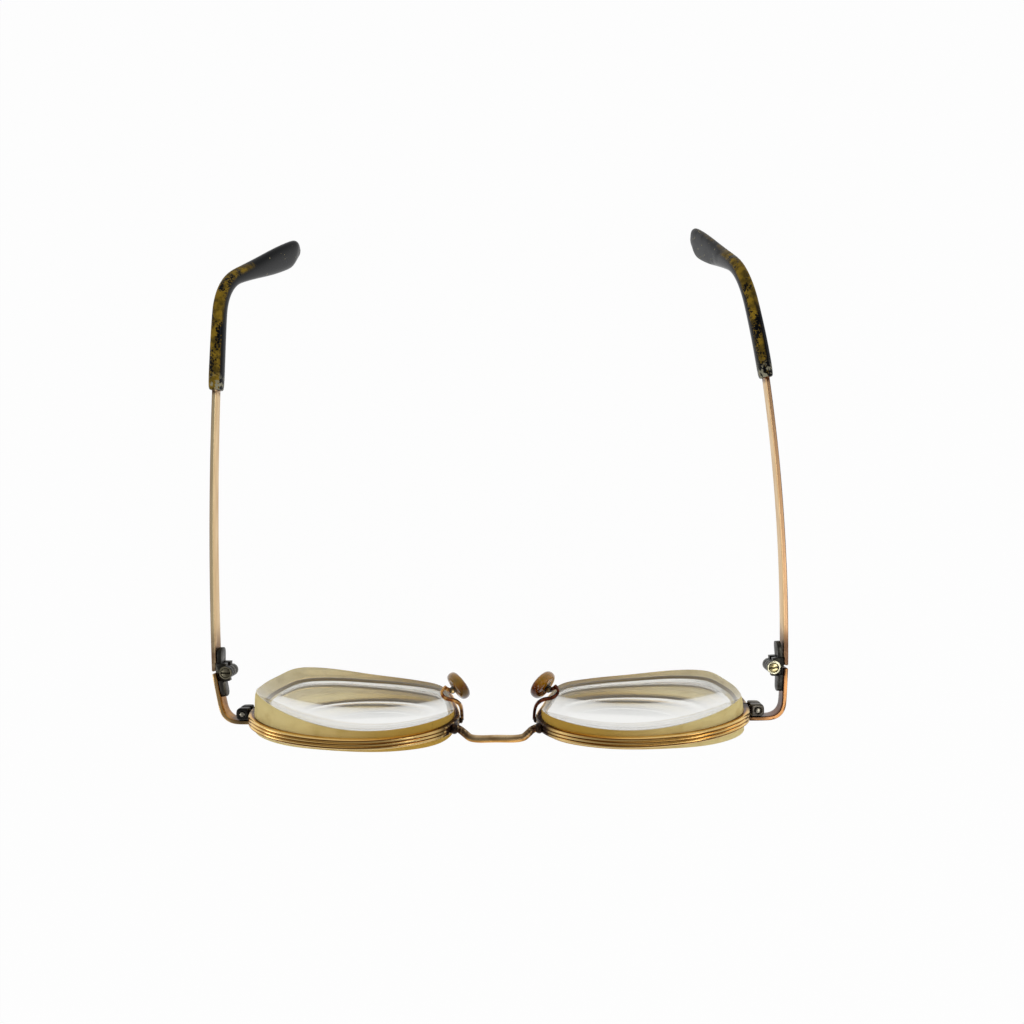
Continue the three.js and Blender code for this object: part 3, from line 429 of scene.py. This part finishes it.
class Finish:
    """A material built from patterns on the piece's own place, with sizes in millimetres."""

    def __init__(self, name):
        self.material = bpy.data.materials.new(name)
        self.material.use_nodes = True
        self.tree = self.material.node_tree
        self.shader = self.tree.nodes["Principled BSDF"]
        self.place = self.add("TexCoord", "Object", {})
        self.normal = self.place.node.outputs["Normal"]

    def put(self, socket, value):
        """Sets a socket to a plain value or joins it to another node's output."""
        if isinstance(value, bpy.types.NodeSocket):
            self.tree.links.new(value, socket)
        else:
            socket.default_value = value

    def add(self, kind, output, inputs, **settings):
        """Adds a node and gives one of its outputs."""
        node = self.tree.nodes.new("ShaderNode" + kind)
        for setting, value in settings.items():
            setattr(node, setting, value)
        for key, value in inputs.items():
            self.put(node.inputs[key], value)
        return node.outputs[output]

    def surface(self, **inputs):
        """Sets the shader's sockets, named with underscores for spaces."""
        for key, value in inputs.items():
            self.put(self.shader.inputs[key.replace("_", " ")], value)

    def noise(self, size, detail=3, roughness=0.5, stretch=(1, 1, 1)):
        """Noise with lumps of about this size, longer along the axes with a small stretch."""
        place = self.add("Mapping", "Vector", {"Vector": self.place, "Scale": stretch})
        inputs = {"Vector": place, "Scale": 1 / (size * MM), "Detail": detail, "Roughness": roughness}
        return self.add("TexNoise", 0, inputs)

    def specks(self, size, share, spot):
        """Spots in about this share of the cells of a size, each as wide as its share of a cell."""
        cells = {"Vector": self.place, "Scale": 1 / (size * MM)}
        distance = self.add("TexVoronoi", "Distance", cells)
        chance = self.add("SeparateColor", 0, {"Color": distance.node.outputs["Color"]})
        chosen = self.rise(chance, share, share * 0.9)
        return self.maths("MULTIPLY", chosen, self.rise(distance, spot, spot * 0.6))

    def rise(self, value, low, high):
        """A soft step from 0 at the low value to 1 at the high one."""
        inputs = {"Value": value, "From Min": low, "From Max": high}
        return self.add("MapRange", "Result", inputs, interpolation_type="SMOOTHSTEP")

    def span(self, value, low, high):
        """A share from 0 to 1 as a value from low to high."""
        return self.add("MapRange", "Result", {"Value": value, "To Min": low, "To Max": high})

    def maths(self, operation, first, second):
        """One sum, product or the like of two values."""
        return self.add("Math", 0, {0: first, 1: second}, operation=operation)

    def both(self, *masks):
        """The product of masks."""
        result = masks[0]
        for mask in masks[1:]:
            result = self.maths("MULTIPLY", result, mask)
        return result

    def either(self, *masks):
        """The greatest of masks."""
        result = masks[0]
        for mask in masks[1:]:
            result = self.maths("MAXIMUM", result, mask)
        return result

    def mix(self, share, first, second):
        """The first colour, with a share of the second."""
        return self.add("Mix", 2, {0: share, 6: first, 7: second}, data_type="RGBA")

    def distance(self, point):
        """The distance of a place from a point, in metres."""
        inputs = {0: self.place, 1: tuple(point)}
        return self.add("VectorMath", "Value", inputs, operation="DISTANCE")

    def near(self, point, inner, outer):
        """1 within the inner distance of a point, falling to 0 at the outer one."""
        return self.rise(self.distance(point), outer * MM, inner * MM)

    def towards(self, direction):
        """How far the surface faces a direction, from -1 to 1."""
        inputs = {0: self.normal, 1: tuple(Vector(direction).normalized())}
        return self.add("VectorMath", "Value", inputs, operation="DOT_PRODUCT")

    def along(self, direction):
        """The distance of a place along a direction, in metres."""
        inputs = {0: self.place, 1: tuple(Vector(direction).normalized())}
        return self.add("VectorMath", "Value", inputs, operation="DOT_PRODUCT")

    def hollows(self, low, high):
        """1 in grooves and inner corners."""
        pointiness = self.add("NewGeometry", "Pointiness", {})
        return self.rise(pointiness, high, low)

    def ridges(self, low, high):
        """1 along outer edges."""
        pointiness = self.add("NewGeometry", "Pointiness", {})
        return self.rise(pointiness, low, high)

    def bumps(self, height, depth):
        """A relief of this depth in the surface."""
        inputs = {"Height": height, "Distance": depth * MM, "Strength": 1}
        self.surface(Normal=self.add("Bump", "Normal", inputs))


def rim_gold(side):
    """Polished gold plating: pale on the ridges as a painted highlight, brown between them and dark beside the
    solder.
    """
    gold = Finish("rim_gold_" + side)
    clouds = gold.noise(9, detail=2)
    tone = gold.mix(gold.rise(clouds, 0.35, 0.65), shade(222, 172, 92), shade(204, 150, 72))
    distance = gold.distance(rim_curve_centre(side))
    back = gold.maths("SUBTRACT", (RIM_CURVE + RIM_STAND_OFF) * MM, distance)
    off_crest = gold.maths("PINGPONG", back, RIDGE_PITCH / 2 * MM)
    # Painted highlight: pale gold along the top of each ridge.
    crest_highlight = gold.rise(off_crest, RIDGE_FLANK * MM, RIDGE_CREST * MM)
    tone = gold.mix(crest_highlight, tone, shade(240, 206, 138))
    valley = gold.rise(off_crest, RIDGE_FLANK * MM, RIDGE_VALLEY * MM)
    tone = gold.mix(valley, tone, shade(92, 50, 16))
    mottle = gold.noise(1.4, detail=4)
    joints = (gold.near(bridge_end(side), 3, 8.5), gold.near(middle(side + "_closing_screw"), 3, 9))
    stain = gold.both(gold.either(*joints), gold.rise(mottle, 0.2, 0.5))
    tone = gold.mix(stain, tone, shade(42, 22, 12))
    rough = gold.span(gold.either(gold.both(mottle, 0.3), stain), 0.16, 0.4)
    gold.surface(Base_Color=tone, Metallic=1.0, Roughness=rough)
    gold.bumps(gold.noise(6, detail=1), 0.004)
    return gold.material


def bridge_bronze():
    """Rubbed bronze, golden on the bridge's front, greyed on its back and black at its ends."""
    bronze = Finish("bridge_bronze")
    streaks = bronze.noise(1.1, detail=4, stretch=(0.3, 1, 1))
    gold = bronze.mix(bronze.rise(streaks, 0.35, 0.7), shade(226, 172, 96), shade(182, 126, 58))
    grey = bronze.mix(bronze.rise(streaks, 0.35, 0.7), shade(206, 178, 136), shade(168, 138, 98))
    tone = bronze.mix(bronze.rise(bronze.towards((0, 1, 0.35)), -0.15, 0.35), gold, grey)
    ends = [bridge_end(side) for side in SIDES]
    stain = bronze.either(*[bronze.near(end, 1.6, 6.5) for end in ends])
    stain = bronze.both(stain, bronze.rise(bronze.noise(0.8, detail=4), 0.25, 0.55))
    tone = bronze.mix(stain, tone, shade(56, 34, 22))
    rough = bronze.span(bronze.either(streaks, stain), 0.2, 0.4)
    bronze.surface(Base_Color=tone, Metallic=1.0, Roughness=rough)
    bronze.bumps(bronze.noise(0.5, detail=3), 0.006)
    return bronze.material


def endpiece_bronze(side):
    """Brown plating with a painted highlight along its upper edge, black at the closing block and the hinge."""
    bronze = Finish("endpiece_bronze_" + side)
    light, deep, rubbed_and_highlight = {
        "right": (shade(184, 134, 70), shade(116, 76, 36), shade(250, 212, 150)),
        "left": (shade(116, 76, 50), shade(68, 40, 28), shade(182, 132, 82)),
    }[side]
    streaks = bronze.noise(4, detail=2)
    tone = bronze.mix(bronze.rise(streaks, 0.3, 0.7), light, deep)
    # Painted highlight: the edge that faces up and outwards is paler.
    upwards = bronze.rise(bronze.towards((SIDES[side] * 0.6, 0, 1)), 0.6, 0.9)
    tone = bronze.mix(bronze.both(upwards, 0.7), tone, rubbed_and_highlight)
    screw = middle(side + "_closing_screw")
    hinge = Vector(JOINTS[side + "_temple_fold"]["pos_m"])
    stain = bronze.either(bronze.near(screw, 1.5, 5), bronze.both(bronze.near(hinge, 2, 5), 0.7))
    stain = bronze.both(stain, bronze.rise(bronze.noise(2, detail=2), 0.1, 0.45))
    tone = bronze.mix(stain, tone, shade(34, 22, 16))
    rough = bronze.span(bronze.either(streaks, stain), 0.14, 0.34)
    bronze.surface(Base_Color=tone, Metallic=1.0, Roughness=rough)
    bronze.bumps(bronze.noise(5, detail=1), 0.004)
    return bronze.material


def arm_bronze(side):
    """Thin plating on the pad arms, worn to red brown, and nearly black where it was soldered."""
    bronze = Finish("arm_bronze_" + side)
    light, deep = {
        "right": (shade(206, 156, 90), shade(128, 70, 34)),
        "left": (shade(112, 60, 40), shade(50, 22, 16)),
    }[side]
    streaks = bronze.noise(1.2, detail=4)
    tone = bronze.mix(bronze.rise(streaks, 0.38, 0.66), light, deep)
    burnt = bronze.near(arm_root(side), 1, 4.5)
    stain = bronze.both(burnt, bronze.rise(bronze.noise(0.8, detail=4), 0.2, 0.55))
    tone = bronze.mix(stain, tone, shade(50, 24, 14))
    rough = bronze.span(bronze.either(streaks, stain), 0.18, 0.4)
    bronze.surface(Base_Color=tone, Metallic=1.0, Roughness=rough)
    bronze.bumps(bronze.noise(0.4, detail=3), 0.006)
    return bronze.material


def solder_metal():
    """Lumpy hard solder, burnt brown-black."""
    solder = Finish("burnt_solder")
    lumps = solder.noise(0.7, detail=4)
    tone = solder.mix(solder.rise(lumps, 0.4, 0.7), shade(28, 20, 15), shade(60, 40, 24))
    solder.surface(Base_Color=tone, Metallic=0.9, Roughness=solder.span(lumps, 0.3, 0.55))
    solder.bumps(lumps, 0.05)
    return solder.material


def temple_champagne(side):
    """Satin champagne bars with a painted highlight along the upper edge, painted shade in brown on the outside,
    and brown ends.
    """
    bar = Finish("temple_champagne_" + side)
    sign = SIDES[side]
    grain = bar.noise(0.7, detail=3, stretch=(1, 0.06, 1))
    tone = bar.mix(bar.rise(grain, 0.3, 0.7), shade(228, 198, 152), shade(208, 174, 126))
    # Painted highlight: the faces that look up are paler.
    upper = {"right": shade(250, 226, 180), "left": shade(196, 156, 116)}[side]
    tone = bar.mix(bar.rise(bar.towards((0, 0, 1)), 0.5, 0.9), tone, upper)
    # Painted shade: the faces that look outwards are brown.
    outer_painted_shade = bar.mix(bar.rise(grain, 0.35, 0.65), shade(120, 78, 56), shade(76, 44, 34))
    tone = bar.mix(bar.rise(bar.towards((sign, 0, 0.25)), 0.3, 0.65), tone, outer_painted_shade)
    hinge = Vector(JOINTS[side + "_temple_fold"]["pos_m"])
    mottle = bar.noise(1.1, detail=4)
    near_hinge = bar.both(bar.near(hinge, 6, 13), bar.rise(bar.noise(3, detail=2), 0.1, 0.5))
    brown = {"right": shade(122, 88, 64), "left": shade(92, 62, 46)}[side]
    tone = bar.mix(bar.both(near_hinge, 0.85), tone, brown)
    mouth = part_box(side + "_temple_tip")[0].y
    at_mouth = bar.rise(bar.along((0, 1, 0)), mouth - 1.6 * MM, mouth - 0.2 * MM)
    rust = bar.both(at_mouth, bar.rise(mottle, 0.3, 0.55))
    tone = bar.mix(rust, tone, shade(86, 44, 20))
    rough = bar.span(bar.either(grain, near_hinge), 0.26, 0.42)
    bar.surface(Base_Color=tone, Metallic=1.0, Roughness=rough)
    bar.bumps(grain, 0.003)
    return bar.material


def blackened_metal(name, light, dark):
    """Dull metal gone dark with age, a little paler on its outer edges, partly from wear and partly as a painted
    highlight.
    """
    metal = Finish(name)
    patches = metal.noise(2, detail=3)
    tone = metal.mix(metal.rise(patches, 0.35, 0.7), light, dark)
    # Paler on the outer edges: partly wear, partly a painted highlight.
    rubbed_and_highlight = metal.both(metal.ridges(0.54, 0.64), metal.rise(metal.noise(1, detail=3), 0.35, 0.6))
    tone = metal.mix(metal.both(rubbed_and_highlight, 0.4), tone, shade(140, 134, 118))
    tone = metal.mix(metal.hollows(0.4, 0.48), tone, shade(16, 15, 13))
    metal.surface(Base_Color=tone, Metallic=0.9, Roughness=metal.span(patches, 0.28, 0.45))
    metal.bumps(metal.noise(0.5, detail=3), 0.004)
    return metal.material


def hinge_metal(side):
    """Blackened metal of the temple's hinge leaf, with a bare ring round the screw."""
    metal = Finish("hinge_metal_" + side)
    ring = {"right": shade(140, 134, 112), "left": shade(250, 244, 208)}[side]
    joint = JOINTS[side + "_temple_fold"]
    up = Vector(joint["axis"]) * SIDES[side]
    top = Vector(joint["pos_m"]) + up * HINGE_TOP * MM
    patches = metal.noise(2, detail=3)
    tone = metal.mix(metal.rise(patches, 0.35, 0.7), shade(66, 64, 57), shade(32, 31, 28))
    bare = metal.both(metal.near(top, 1.6, 1.75), metal.rise(metal.towards(up), 0.2, 0.6))
    tone = metal.mix(bare, tone, ring)
    metal.surface(Base_Color=tone, Metallic=0.9, Roughness=metal.span(patches, 0.26, 0.42))
    metal.bumps(metal.noise(0.5, detail=3), 0.004)
    return metal.material


def turned_metal(name, light, dark, up=None, top=0):
    """Bare turned metal of a screw or a pin, darker in the slot of a screw whose top is given."""
    metal = Finish(name)
    patches = metal.noise(1.2, detail=2)
    tone = metal.mix(metal.rise(patches, 0.4, 0.65), light, dark)
    if up:
        # Darker below the top of the screw, in its slot.
        slot = metal.rise(metal.along(up), top - 0.1 * MM, top - 0.2 * MM)
        tone = metal.mix(metal.both(slot, 0.85), tone, shade(34, 28, 18))
    metal.surface(Base_Color=tone, Metallic=1.0, Roughness=metal.span(patches, 0.2, 0.36))
    metal.bumps(metal.noise(0.5, detail=2), 0.002)
    return metal.material


def polished_glass(name):
    """Clear lens glass with faint smears and a few grains of dust."""
    glass = Finish(name)
    dust = glass.specks(1.6, 0.05, 0.06)
    smears = glass.rise(glass.noise(5, detail=4, stretch=(0.5, 1, 1)), 0.5, 0.75)
    tone = glass.mix(dust, (0.87, 0.87, 0.845, 1), shade(168, 164, 148))
    rough = glass.either(glass.both(smears, 0.025), glass.both(dust, 0.3))
    glass.surface(Base_Color=tone, Roughness=rough, Transmission_Weight=1.0, IOR=GLASS_IOR)
    return glass.material


def ground_glass(side):
    """The frosted edge of a lens: khaki at the temple, olive gold at the nose, with painted shade inside the rim
    and painted light from the floor on its lower front.
    """
    glass = Finish("ground_glass_" + side)
    low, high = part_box(side + "_lens")
    reach = glass.along((SIDES[side], 0, 0))
    inner = min(abs(low.x), abs(high.x))
    outer = max(abs(low.x), abs(high.x))
    outwards = glass.rise(reach, inner + 8 * MM, outer - 6 * MM)
    tone = glass.mix(outwards, shade(210, 166, 62), shade(246, 226, 158))
    mottle = glass.noise(4, detail=3)
    tone = glass.mix(glass.both(glass.rise(mottle, 0.45, 0.75), 0.4), tone, shade(190, 156, 70))
    dirt = glass.rise(glass.noise(1.6, detail=5, roughness=0.7), 0.6, 0.72)
    nose_side = glass.rise(reach, outer - 18 * MM, inner)
    tone = glass.mix(glass.both(dirt, nose_side, 0.8), tone, shade(112, 66, 16))
    level = middle(side + "_lens").z
    below = glass.rise(glass.along((0, 0, 1)), level + 2 * MM, level - 6 * MM)
    tone = glass.mix(glass.both(below, nose_side, 0.9), tone, shade(152, 122, 2))
    # Painted shade where the rim covers the edge: darker inside the groove.
    centre = rim_curve_centre(side)
    groove_back = glass.near(centre, RIM_CURVE - GROOVE_END, RIM_CURVE - GROOVE_DARK)
    groove_front = glass.near(centre, RIM_CURVE + GROOVE_DARK, RIM_CURVE + GROOVE_END)
    groove = glass.maths("SUBTRACT", groove_front, groove_back)
    tone = glass.mix(groove, tone, shade(124, 98, 4))
    # Painted light from the floor: the lower front of the edge, outside the rim, is near white and clearer.
    bright = glass.both(glass.maths("SUBTRACT", 1, groove_front), below)
    tone = glass.mix(bright, tone, shade(252, 250, 240))
    fine = glass.noise(0.25, detail=3)
    rough = glass.span(fine, 0.5, 0.7)
    glass.surface(Base_Color=tone, Roughness=rough, IOR=GLASS_IOR, Specular_IOR_Level=0.0)
    glass.surface(Transmission_Weight=glass.span(bright, 0.3, 0.85))
    glass.bumps(fine, 0.02)
    return glass.material


def amber_plastic(side):
    """Clear amber pads, golden at the outer back as painted light passing through, red brown towards the nose as
    painted shade, and hazed on top.
    """
    amber = Finish("amber_plastic_" + side)
    course = Vector((SIDES[side] * 0.6, 0.8, 0))
    centre = middle(side + "_nose_pad").dot(course)
    reach = amber.along(course)
    # Painted light passing through: golden at the outer back.
    golden = amber.rise(reach, centre - 1 * MM, centre + 1.5 * MM)
    tone = amber.mix(golden, shade(150, 74, 8), shade(204, 146, 14))
    # Painted shade: red brown towards the nose.
    brown = amber.rise(reach, centre + 0.5 * MM, centre - 2.2 * MM)
    tone = amber.mix(brown, tone, shade(84, 26, 4))
    clouds = amber.noise(3, detail=2)
    strength = {"right": 0.7, "left": 0.05}[side]
    upwards = amber.rise(amber.towards((0, 0, 1)), 0.0, 0.7)
    haze = amber.both(upwards, amber.rise(clouds, 0.75, 0.4), strength)
    tone = amber.mix(haze, tone, shade(124, 104, 54))
    rough = amber.span(haze, 0.06, 0.3)
    amber.surface(Base_Color=tone, Roughness=rough, IOR=PLASTIC_IOR, Specular_IOR_Level=0.1)
    amber.surface(Transmission_Weight=amber.span(haze, 0.5, 0.2))
    amber.bumps(amber.noise(1.6, detail=2), 0.005)
    return amber.material


def worn_black_plastic(side):
    """Black ear tips with an olive-gold film that has cracked and rubbed away."""
    black = Finish("worn_black_plastic_" + side)
    sign = SIDES[side]
    low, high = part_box(side + "_temple_tip")
    back = black.along((0, 1, 0))
    crackle = black.noise(0.5, detail=5, roughness=0.7)
    patches = black.noise(3, detail=4, stretch=(1, 0.5, 1))
    uneven = black.maths("ADD", back, black.both(patches, 8 * MM))
    paddle = black.rise(uneven, high.y - 11.5 * MM, high.y - 9 * MM)
    arm = black.maths("SUBTRACT", 1, paddle)
    bend = black.rise(back, low.y + 14 * MM, low.y + 23 * MM)
    lean, start, full = {"right": (0.5, -0.1, 0.25), "left": (-0.7, 0.66, 0.88)}[side]
    facing = black.rise(black.towards((sign * lean, 0, 1)), start, full)
    over_bend = black.both(black.rise(black.towards((sign * 0.2, 0, 1)), -0.1, 0.3), bend)
    level = black.maths("ADD", black.both(patches, 0.55), black.both(crackle, 0.45))
    wear = black.span(bend, 0.485, 0.44)
    cover = black.rise(black.maths("SUBTRACT", level, wear), -0.01, 0.03)
    film = black.both(black.either(facing, over_bend), cover, arm)
    upwards = black.rise(black.towards((0, 0, 1)), 0.4, 0.8)
    edge = black.both(upwards, paddle, black.rise(level, 0.47, 0.52))
    film = black.either(film, black.both(edge, {"right": 0.0, "left": 0.9}[side]))
    clouds = black.rise(black.noise(1.6, detail=3), 0.35, 0.7)
    olive = black.mix(clouds, shade(142, 114, 32), shade(82, 66, 19))
    crumbs = black.both(black.specks(0.8, {"right": 0.06, "left": 0.18}[side], 0.32), paddle)
    body = shade(9, 10, 13)
    dull = {"right": body, "left": shade(46, 47, 49)}[side]
    tone = black.mix(black.both(paddle, black.rise(black.noise(2.5, detail=4), 0.25, 0.6)), body, dull)
    tone = black.mix(film, tone, olive)
    tone = black.mix(crumbs, tone, shade(150, 142, 110))
    mouth = black.rise(back, low.y + 4.5 * MM, low.y + 1 * MM)
    chips = black.both(mouth, black.rise(black.noise(1, detail=4), 0.48, 0.56))
    tone = black.mix(chips, tone, shade(150, 146, 124))
    rubbed_and_highlight = black.either(film, chips, crumbs, black.both(paddle, {"right": 0.05, "left": 0.6}[side]))
    black.surface(Base_Color=tone, Roughness=black.span(rubbed_and_highlight, 0.18, 0.52), Specular_IOR_Level=0.07)
    black.bumps(black.either(film, chips), 0.03)
    return black.material


# The pieces


def solder_bead(name, place, size, turn, finish):
    """A lump of solder: a ball pressed to a size, turned, roughened and smoothed."""
    bpy.ops.object.select_all(action="DESELECT")
    bpy.ops.mesh.primitive_uv_sphere_add(segments=16, ring_count=10, radius=MM, location=place)
    bead = bpy.context.object
    bead.name = name
    bpy.ops.object.mode_set(mode="EDIT")
    bpy.ops.mesh.select_all(action="SELECT")
    bpy.ops.transform.resize(value=size)
    bpy.ops.transform.rotate(value=turn, orient_axis="Y", center_override=tuple(place))
    bpy.ops.transform.vertex_random(offset=SOLDER_LUMPS * MM, seed=SOLDER_SEED)
    bpy.ops.object.mode_set(mode="OBJECT")
    bpy.ops.object.transform_apply(location=True, rotation=True, scale=True)
    finish_with(bead, "SUBSURF", levels=SOLDER_LEVELS, render_levels=SOLDER_LEVELS)
    smooth(bead)
    bead.data.materials.append(finish)
    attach(bead, "front")


def build_solder():
    """Solder where the bridge, the pad arms and the closing blocks meet the rims."""
    finish = solder_metal()
    for side, sign in SIDES.items():
        slant = -sign * BRIDGE_SLANT
        solder_bead("bridge_solder_" + side, bridge_end(side), BRIDGE_SOLDER, slant, finish)
        beside_rim = arm_root(side) + Vector((sign * ARM_SOLDER_OUT * MM, 0, 0))
        solder_bead("arm_solder_" + side, beside_rim, ARM_SOLDER, 0, finish)
        for block in ("upper_block", "lower_block"):
            low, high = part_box(side + "_" + block)
            seam = (low + high) / 2
            seam.x = low.x if sign > 0 else high.x
            solder_bead(block + "_solder_" + side, seam, BLOCK_SOLDER, 0, finish)


def build_front():
    """The bridge, and for each side the rim, lens, endpiece, closing blocks, screw, leaf and pad arm."""
    dress(rounded_copy("bridge"), "bridge", bridge_bronze())
    for side in SIDES:
        dress(rounded_copy(side + "_rim"), side + "_rim", rim_gold(side))
        lens = side + "_lens"
        dress(lens_piece(side), lens, polished_glass("polished_" + lens), ground_glass(side))
        dress(rounded_copy(side + "_endpiece"), side + "_endpiece", endpiece_bronze(side))
        tones = {
            "right": (shade(46, 44, 41), shade(26, 25, 24)),
            "left": (shade(104, 98, 88), shade(60, 55, 50)),
        }[side]
        black = blackened_metal("closing_block_black_" + side, *tones)
        for block in (side + "_upper_block", side + "_lower_block"):
            dress(lump_copy(block), block, black)
        screw = side + "_closing_screw"
        bare = turned_metal("closing_screw_metal_" + side, shade(186, 180, 164), shade(120, 114, 100))
        dress(eased_copy(screw), screw, bare)
        leaf = blackened_metal("front_leaf_black_" + side, shade(70, 67, 62), shade(34, 32, 31))
        dress(eased_copy(side + "_front_leaf"), side + "_front_leaf", leaf)
        dress(rounded_copy(side + "_pad_arm"), side + "_pad_arm", arm_bronze(side))


def build_temples():
    """For each side the bar, the tip, the hinge leaf and its screw."""
    for side in SIDES:
        dress(rounded_copy(side + "_temple"), side + "_temple", temple_champagne(side))
        tip = side + "_temple_tip"
        dress(rounded_copy(tip), tip, worn_black_plastic(side))
        dress(eased_copy(side + "_temple_leaf"), side + "_temple_leaf", hinge_metal(side))
        tones = {
            "right": (shade(150, 144, 122), shade(112, 106, 88)),
            "left": (shade(226, 212, 160), shade(160, 146, 96)),
        }[side]
        up = Vector(JOINTS[side + "_temple_fold"]["axis"]) * SIDES[side]
        top = max(vertex.co.dot(up) for vertex in frame["nodes"][side + "_hinge_screw"].data.vertices)
        screw_finish = turned_metal("hinge_screw_metal_" + side, *tones, up, top)
        dress(eased_copy(side + "_hinge_screw"), side + "_hinge_screw", screw_finish)


def build_pads():
    """For each side the nose pad, its mount and its pin."""
    for side in SIDES:
        dress(rounded_copy(side + "_nose_pad"), side + "_nose_pad", amber_plastic(side))
        mount = blackened_metal("pad_mount_dark_" + side, shade(60, 50, 40), shade(30, 24, 20))
        dress(eased_copy(side + "_pad_mount"), side + "_pad_mount", mount)
        pin = turned_metal("pad_pin_metal_" + side, shade(196, 170, 120), shade(130, 104, 64))
        dress(eased_copy(side + "_pad_pin"), side + "_pad_pin", pin)


# The studio


def build_floor():
    """A wide white floor that stays white in pictures, mirrors and glass, and keeps a soft shadow."""
    bpy.ops.object.select_all(action="DESELECT")
    bpy.ops.mesh.primitive_plane_add(size=FLOOR_SIZE)
    floor = bpy.context.object
    floor.name = "floor"
    paper = Finish("white_paper")
    grain = paper.noise(40, detail=2)
    paper.surface(Base_Color=paper.mix(grain, (0.9, 0.9, 0.9, 1), (0.88, 0.88, 0.88, 1)), Roughness=0.9)
    rays = paper.add("LightPath", "Is Camera Ray", {})
    outputs = rays.node.outputs
    seen = paper.either(rays, outputs["Is Glossy Ray"], outputs["Is Transmission Ray"])
    white = paper.add("Emission", 0, {"Color": (1, 1, 1, 1), "Strength": 1.0})
    inputs = {0: paper.both(seen, BACKGROUND), 1: paper.shader.outputs[0], 2: white}
    shown = paper.add("MixShader", 0, inputs)
    paper.put(paper.tree.nodes["Material Output"].inputs["Surface"], shown)
    floor.data.materials.append(paper.material)


def soft_light(name, place, width, height, brightness):
    """A soft lamp at a place, so many times as bright as a white sheet."""
    bpy.ops.object.select_all(action="DESELECT")
    bpy.ops.object.light_add(type="AREA", location=place)
    lamp = bpy.context.object
    lamp.name = name
    lamp.rotation_euler = (Vector(LAMP_AIM) - Vector(place)).to_track_quat("-Z", "Y").to_euler()
    lamp.data.shape = "RECTANGLE"
    lamp.data.size = width
    lamp.data.size_y = height
    lamp.data.energy = brightness * math.pi * width * height


def build_light():
    """A pale room with a dim ceiling, white in pictures and through glass, and four soft lamps."""
    world = bpy.data.worlds.new("pale_room")
    bpy.context.scene.world = world
    world.use_nodes = True
    nodes = world.node_tree.nodes
    links = world.node_tree.links
    direction = nodes.new("ShaderNodeTexCoord").outputs["Generated"]
    height = nodes.new("ShaderNodeSeparateXYZ")
    links.new(direction, height.inputs["Vector"])
    fade = nodes.new("ShaderNodeMapRange")
    fade.interpolation_type = "SMOOTHSTEP"
    links.new(height.outputs["Z"], fade.inputs["Value"])
    steepness = {"From Min": WALL_TOP, "From Max": CEILING_START}
    brightness = {"To Min": WALL_LIGHT, "To Max": CEILING_LIGHT}
    for socket, value in (steepness | brightness).items():
        fade.inputs[socket].default_value = value
    rays = nodes.new("ShaderNodeLightPath").outputs
    seen = nodes.new("ShaderNodeMath")
    seen.operation = "MAXIMUM"
    links.new(rays["Is Camera Ray"], seen.inputs[0])
    links.new(rays["Is Transmission Ray"], seen.inputs[1])
    strength = nodes.new("ShaderNodeMix")
    links.new(seen.outputs[0], strength.inputs[0])
    links.new(fade.outputs["Result"], strength.inputs[2])
    strength.inputs[3].default_value = BACKGROUND
    links.new(strength.outputs[0], nodes["Background"].inputs["Strength"])
    nodes["Background"].inputs["Color"].default_value = (1, 1, 1, 1)
    for name, lamp in LAMPS.items():
        soft_light(name, *lamp)


def build_camera():
    """The photograph's camera, looking down on the frame from above and behind its front."""
    joints = [JOINTS[side + "_temple_fold"] for side in SIDES]
    up = Vector(JOINTS["left_temple_fold"]["axis"])
    pitch = Matrix.Rotation(math.atan2(-up.y, up.z), 3, "X")
    start = (Vector(joints[0]["pos_m"]) + Vector(joints[1]["pos_m"])) / 2 + up * HINGE_TOP * MM
    turns = [Matrix.Rotation(math.radians(turn), 3, axis) for turn, axis in zip(CAMERA_TURN, "XYZ")]
    world_to_camera = turns[2] @ turns[1] @ turns[0]
    bpy.ops.object.camera_add()
    camera = bpy.context.object
    camera.name = "photo_camera"
    place = Matrix.Translation(start + pitch @ (Vector(CAMERA_PLACE) * MM))
    camera.matrix_world = place @ (pitch @ world_to_camera.transposed()).to_4x4()
    camera.data.sensor_width = SENSOR
    camera.data.lens = FOCAL_PIXELS * SENSOR / IMAGE_PIXELS
    camera.data.clip_start = CLIP_START * MM
    bpy.context.scene.camera = camera


build_camera()
build_front()
build_solder()
build_temples()
build_pads()
build_floor()
build_light()
bpy.context.scene.view_settings.view_transform = "Standard"
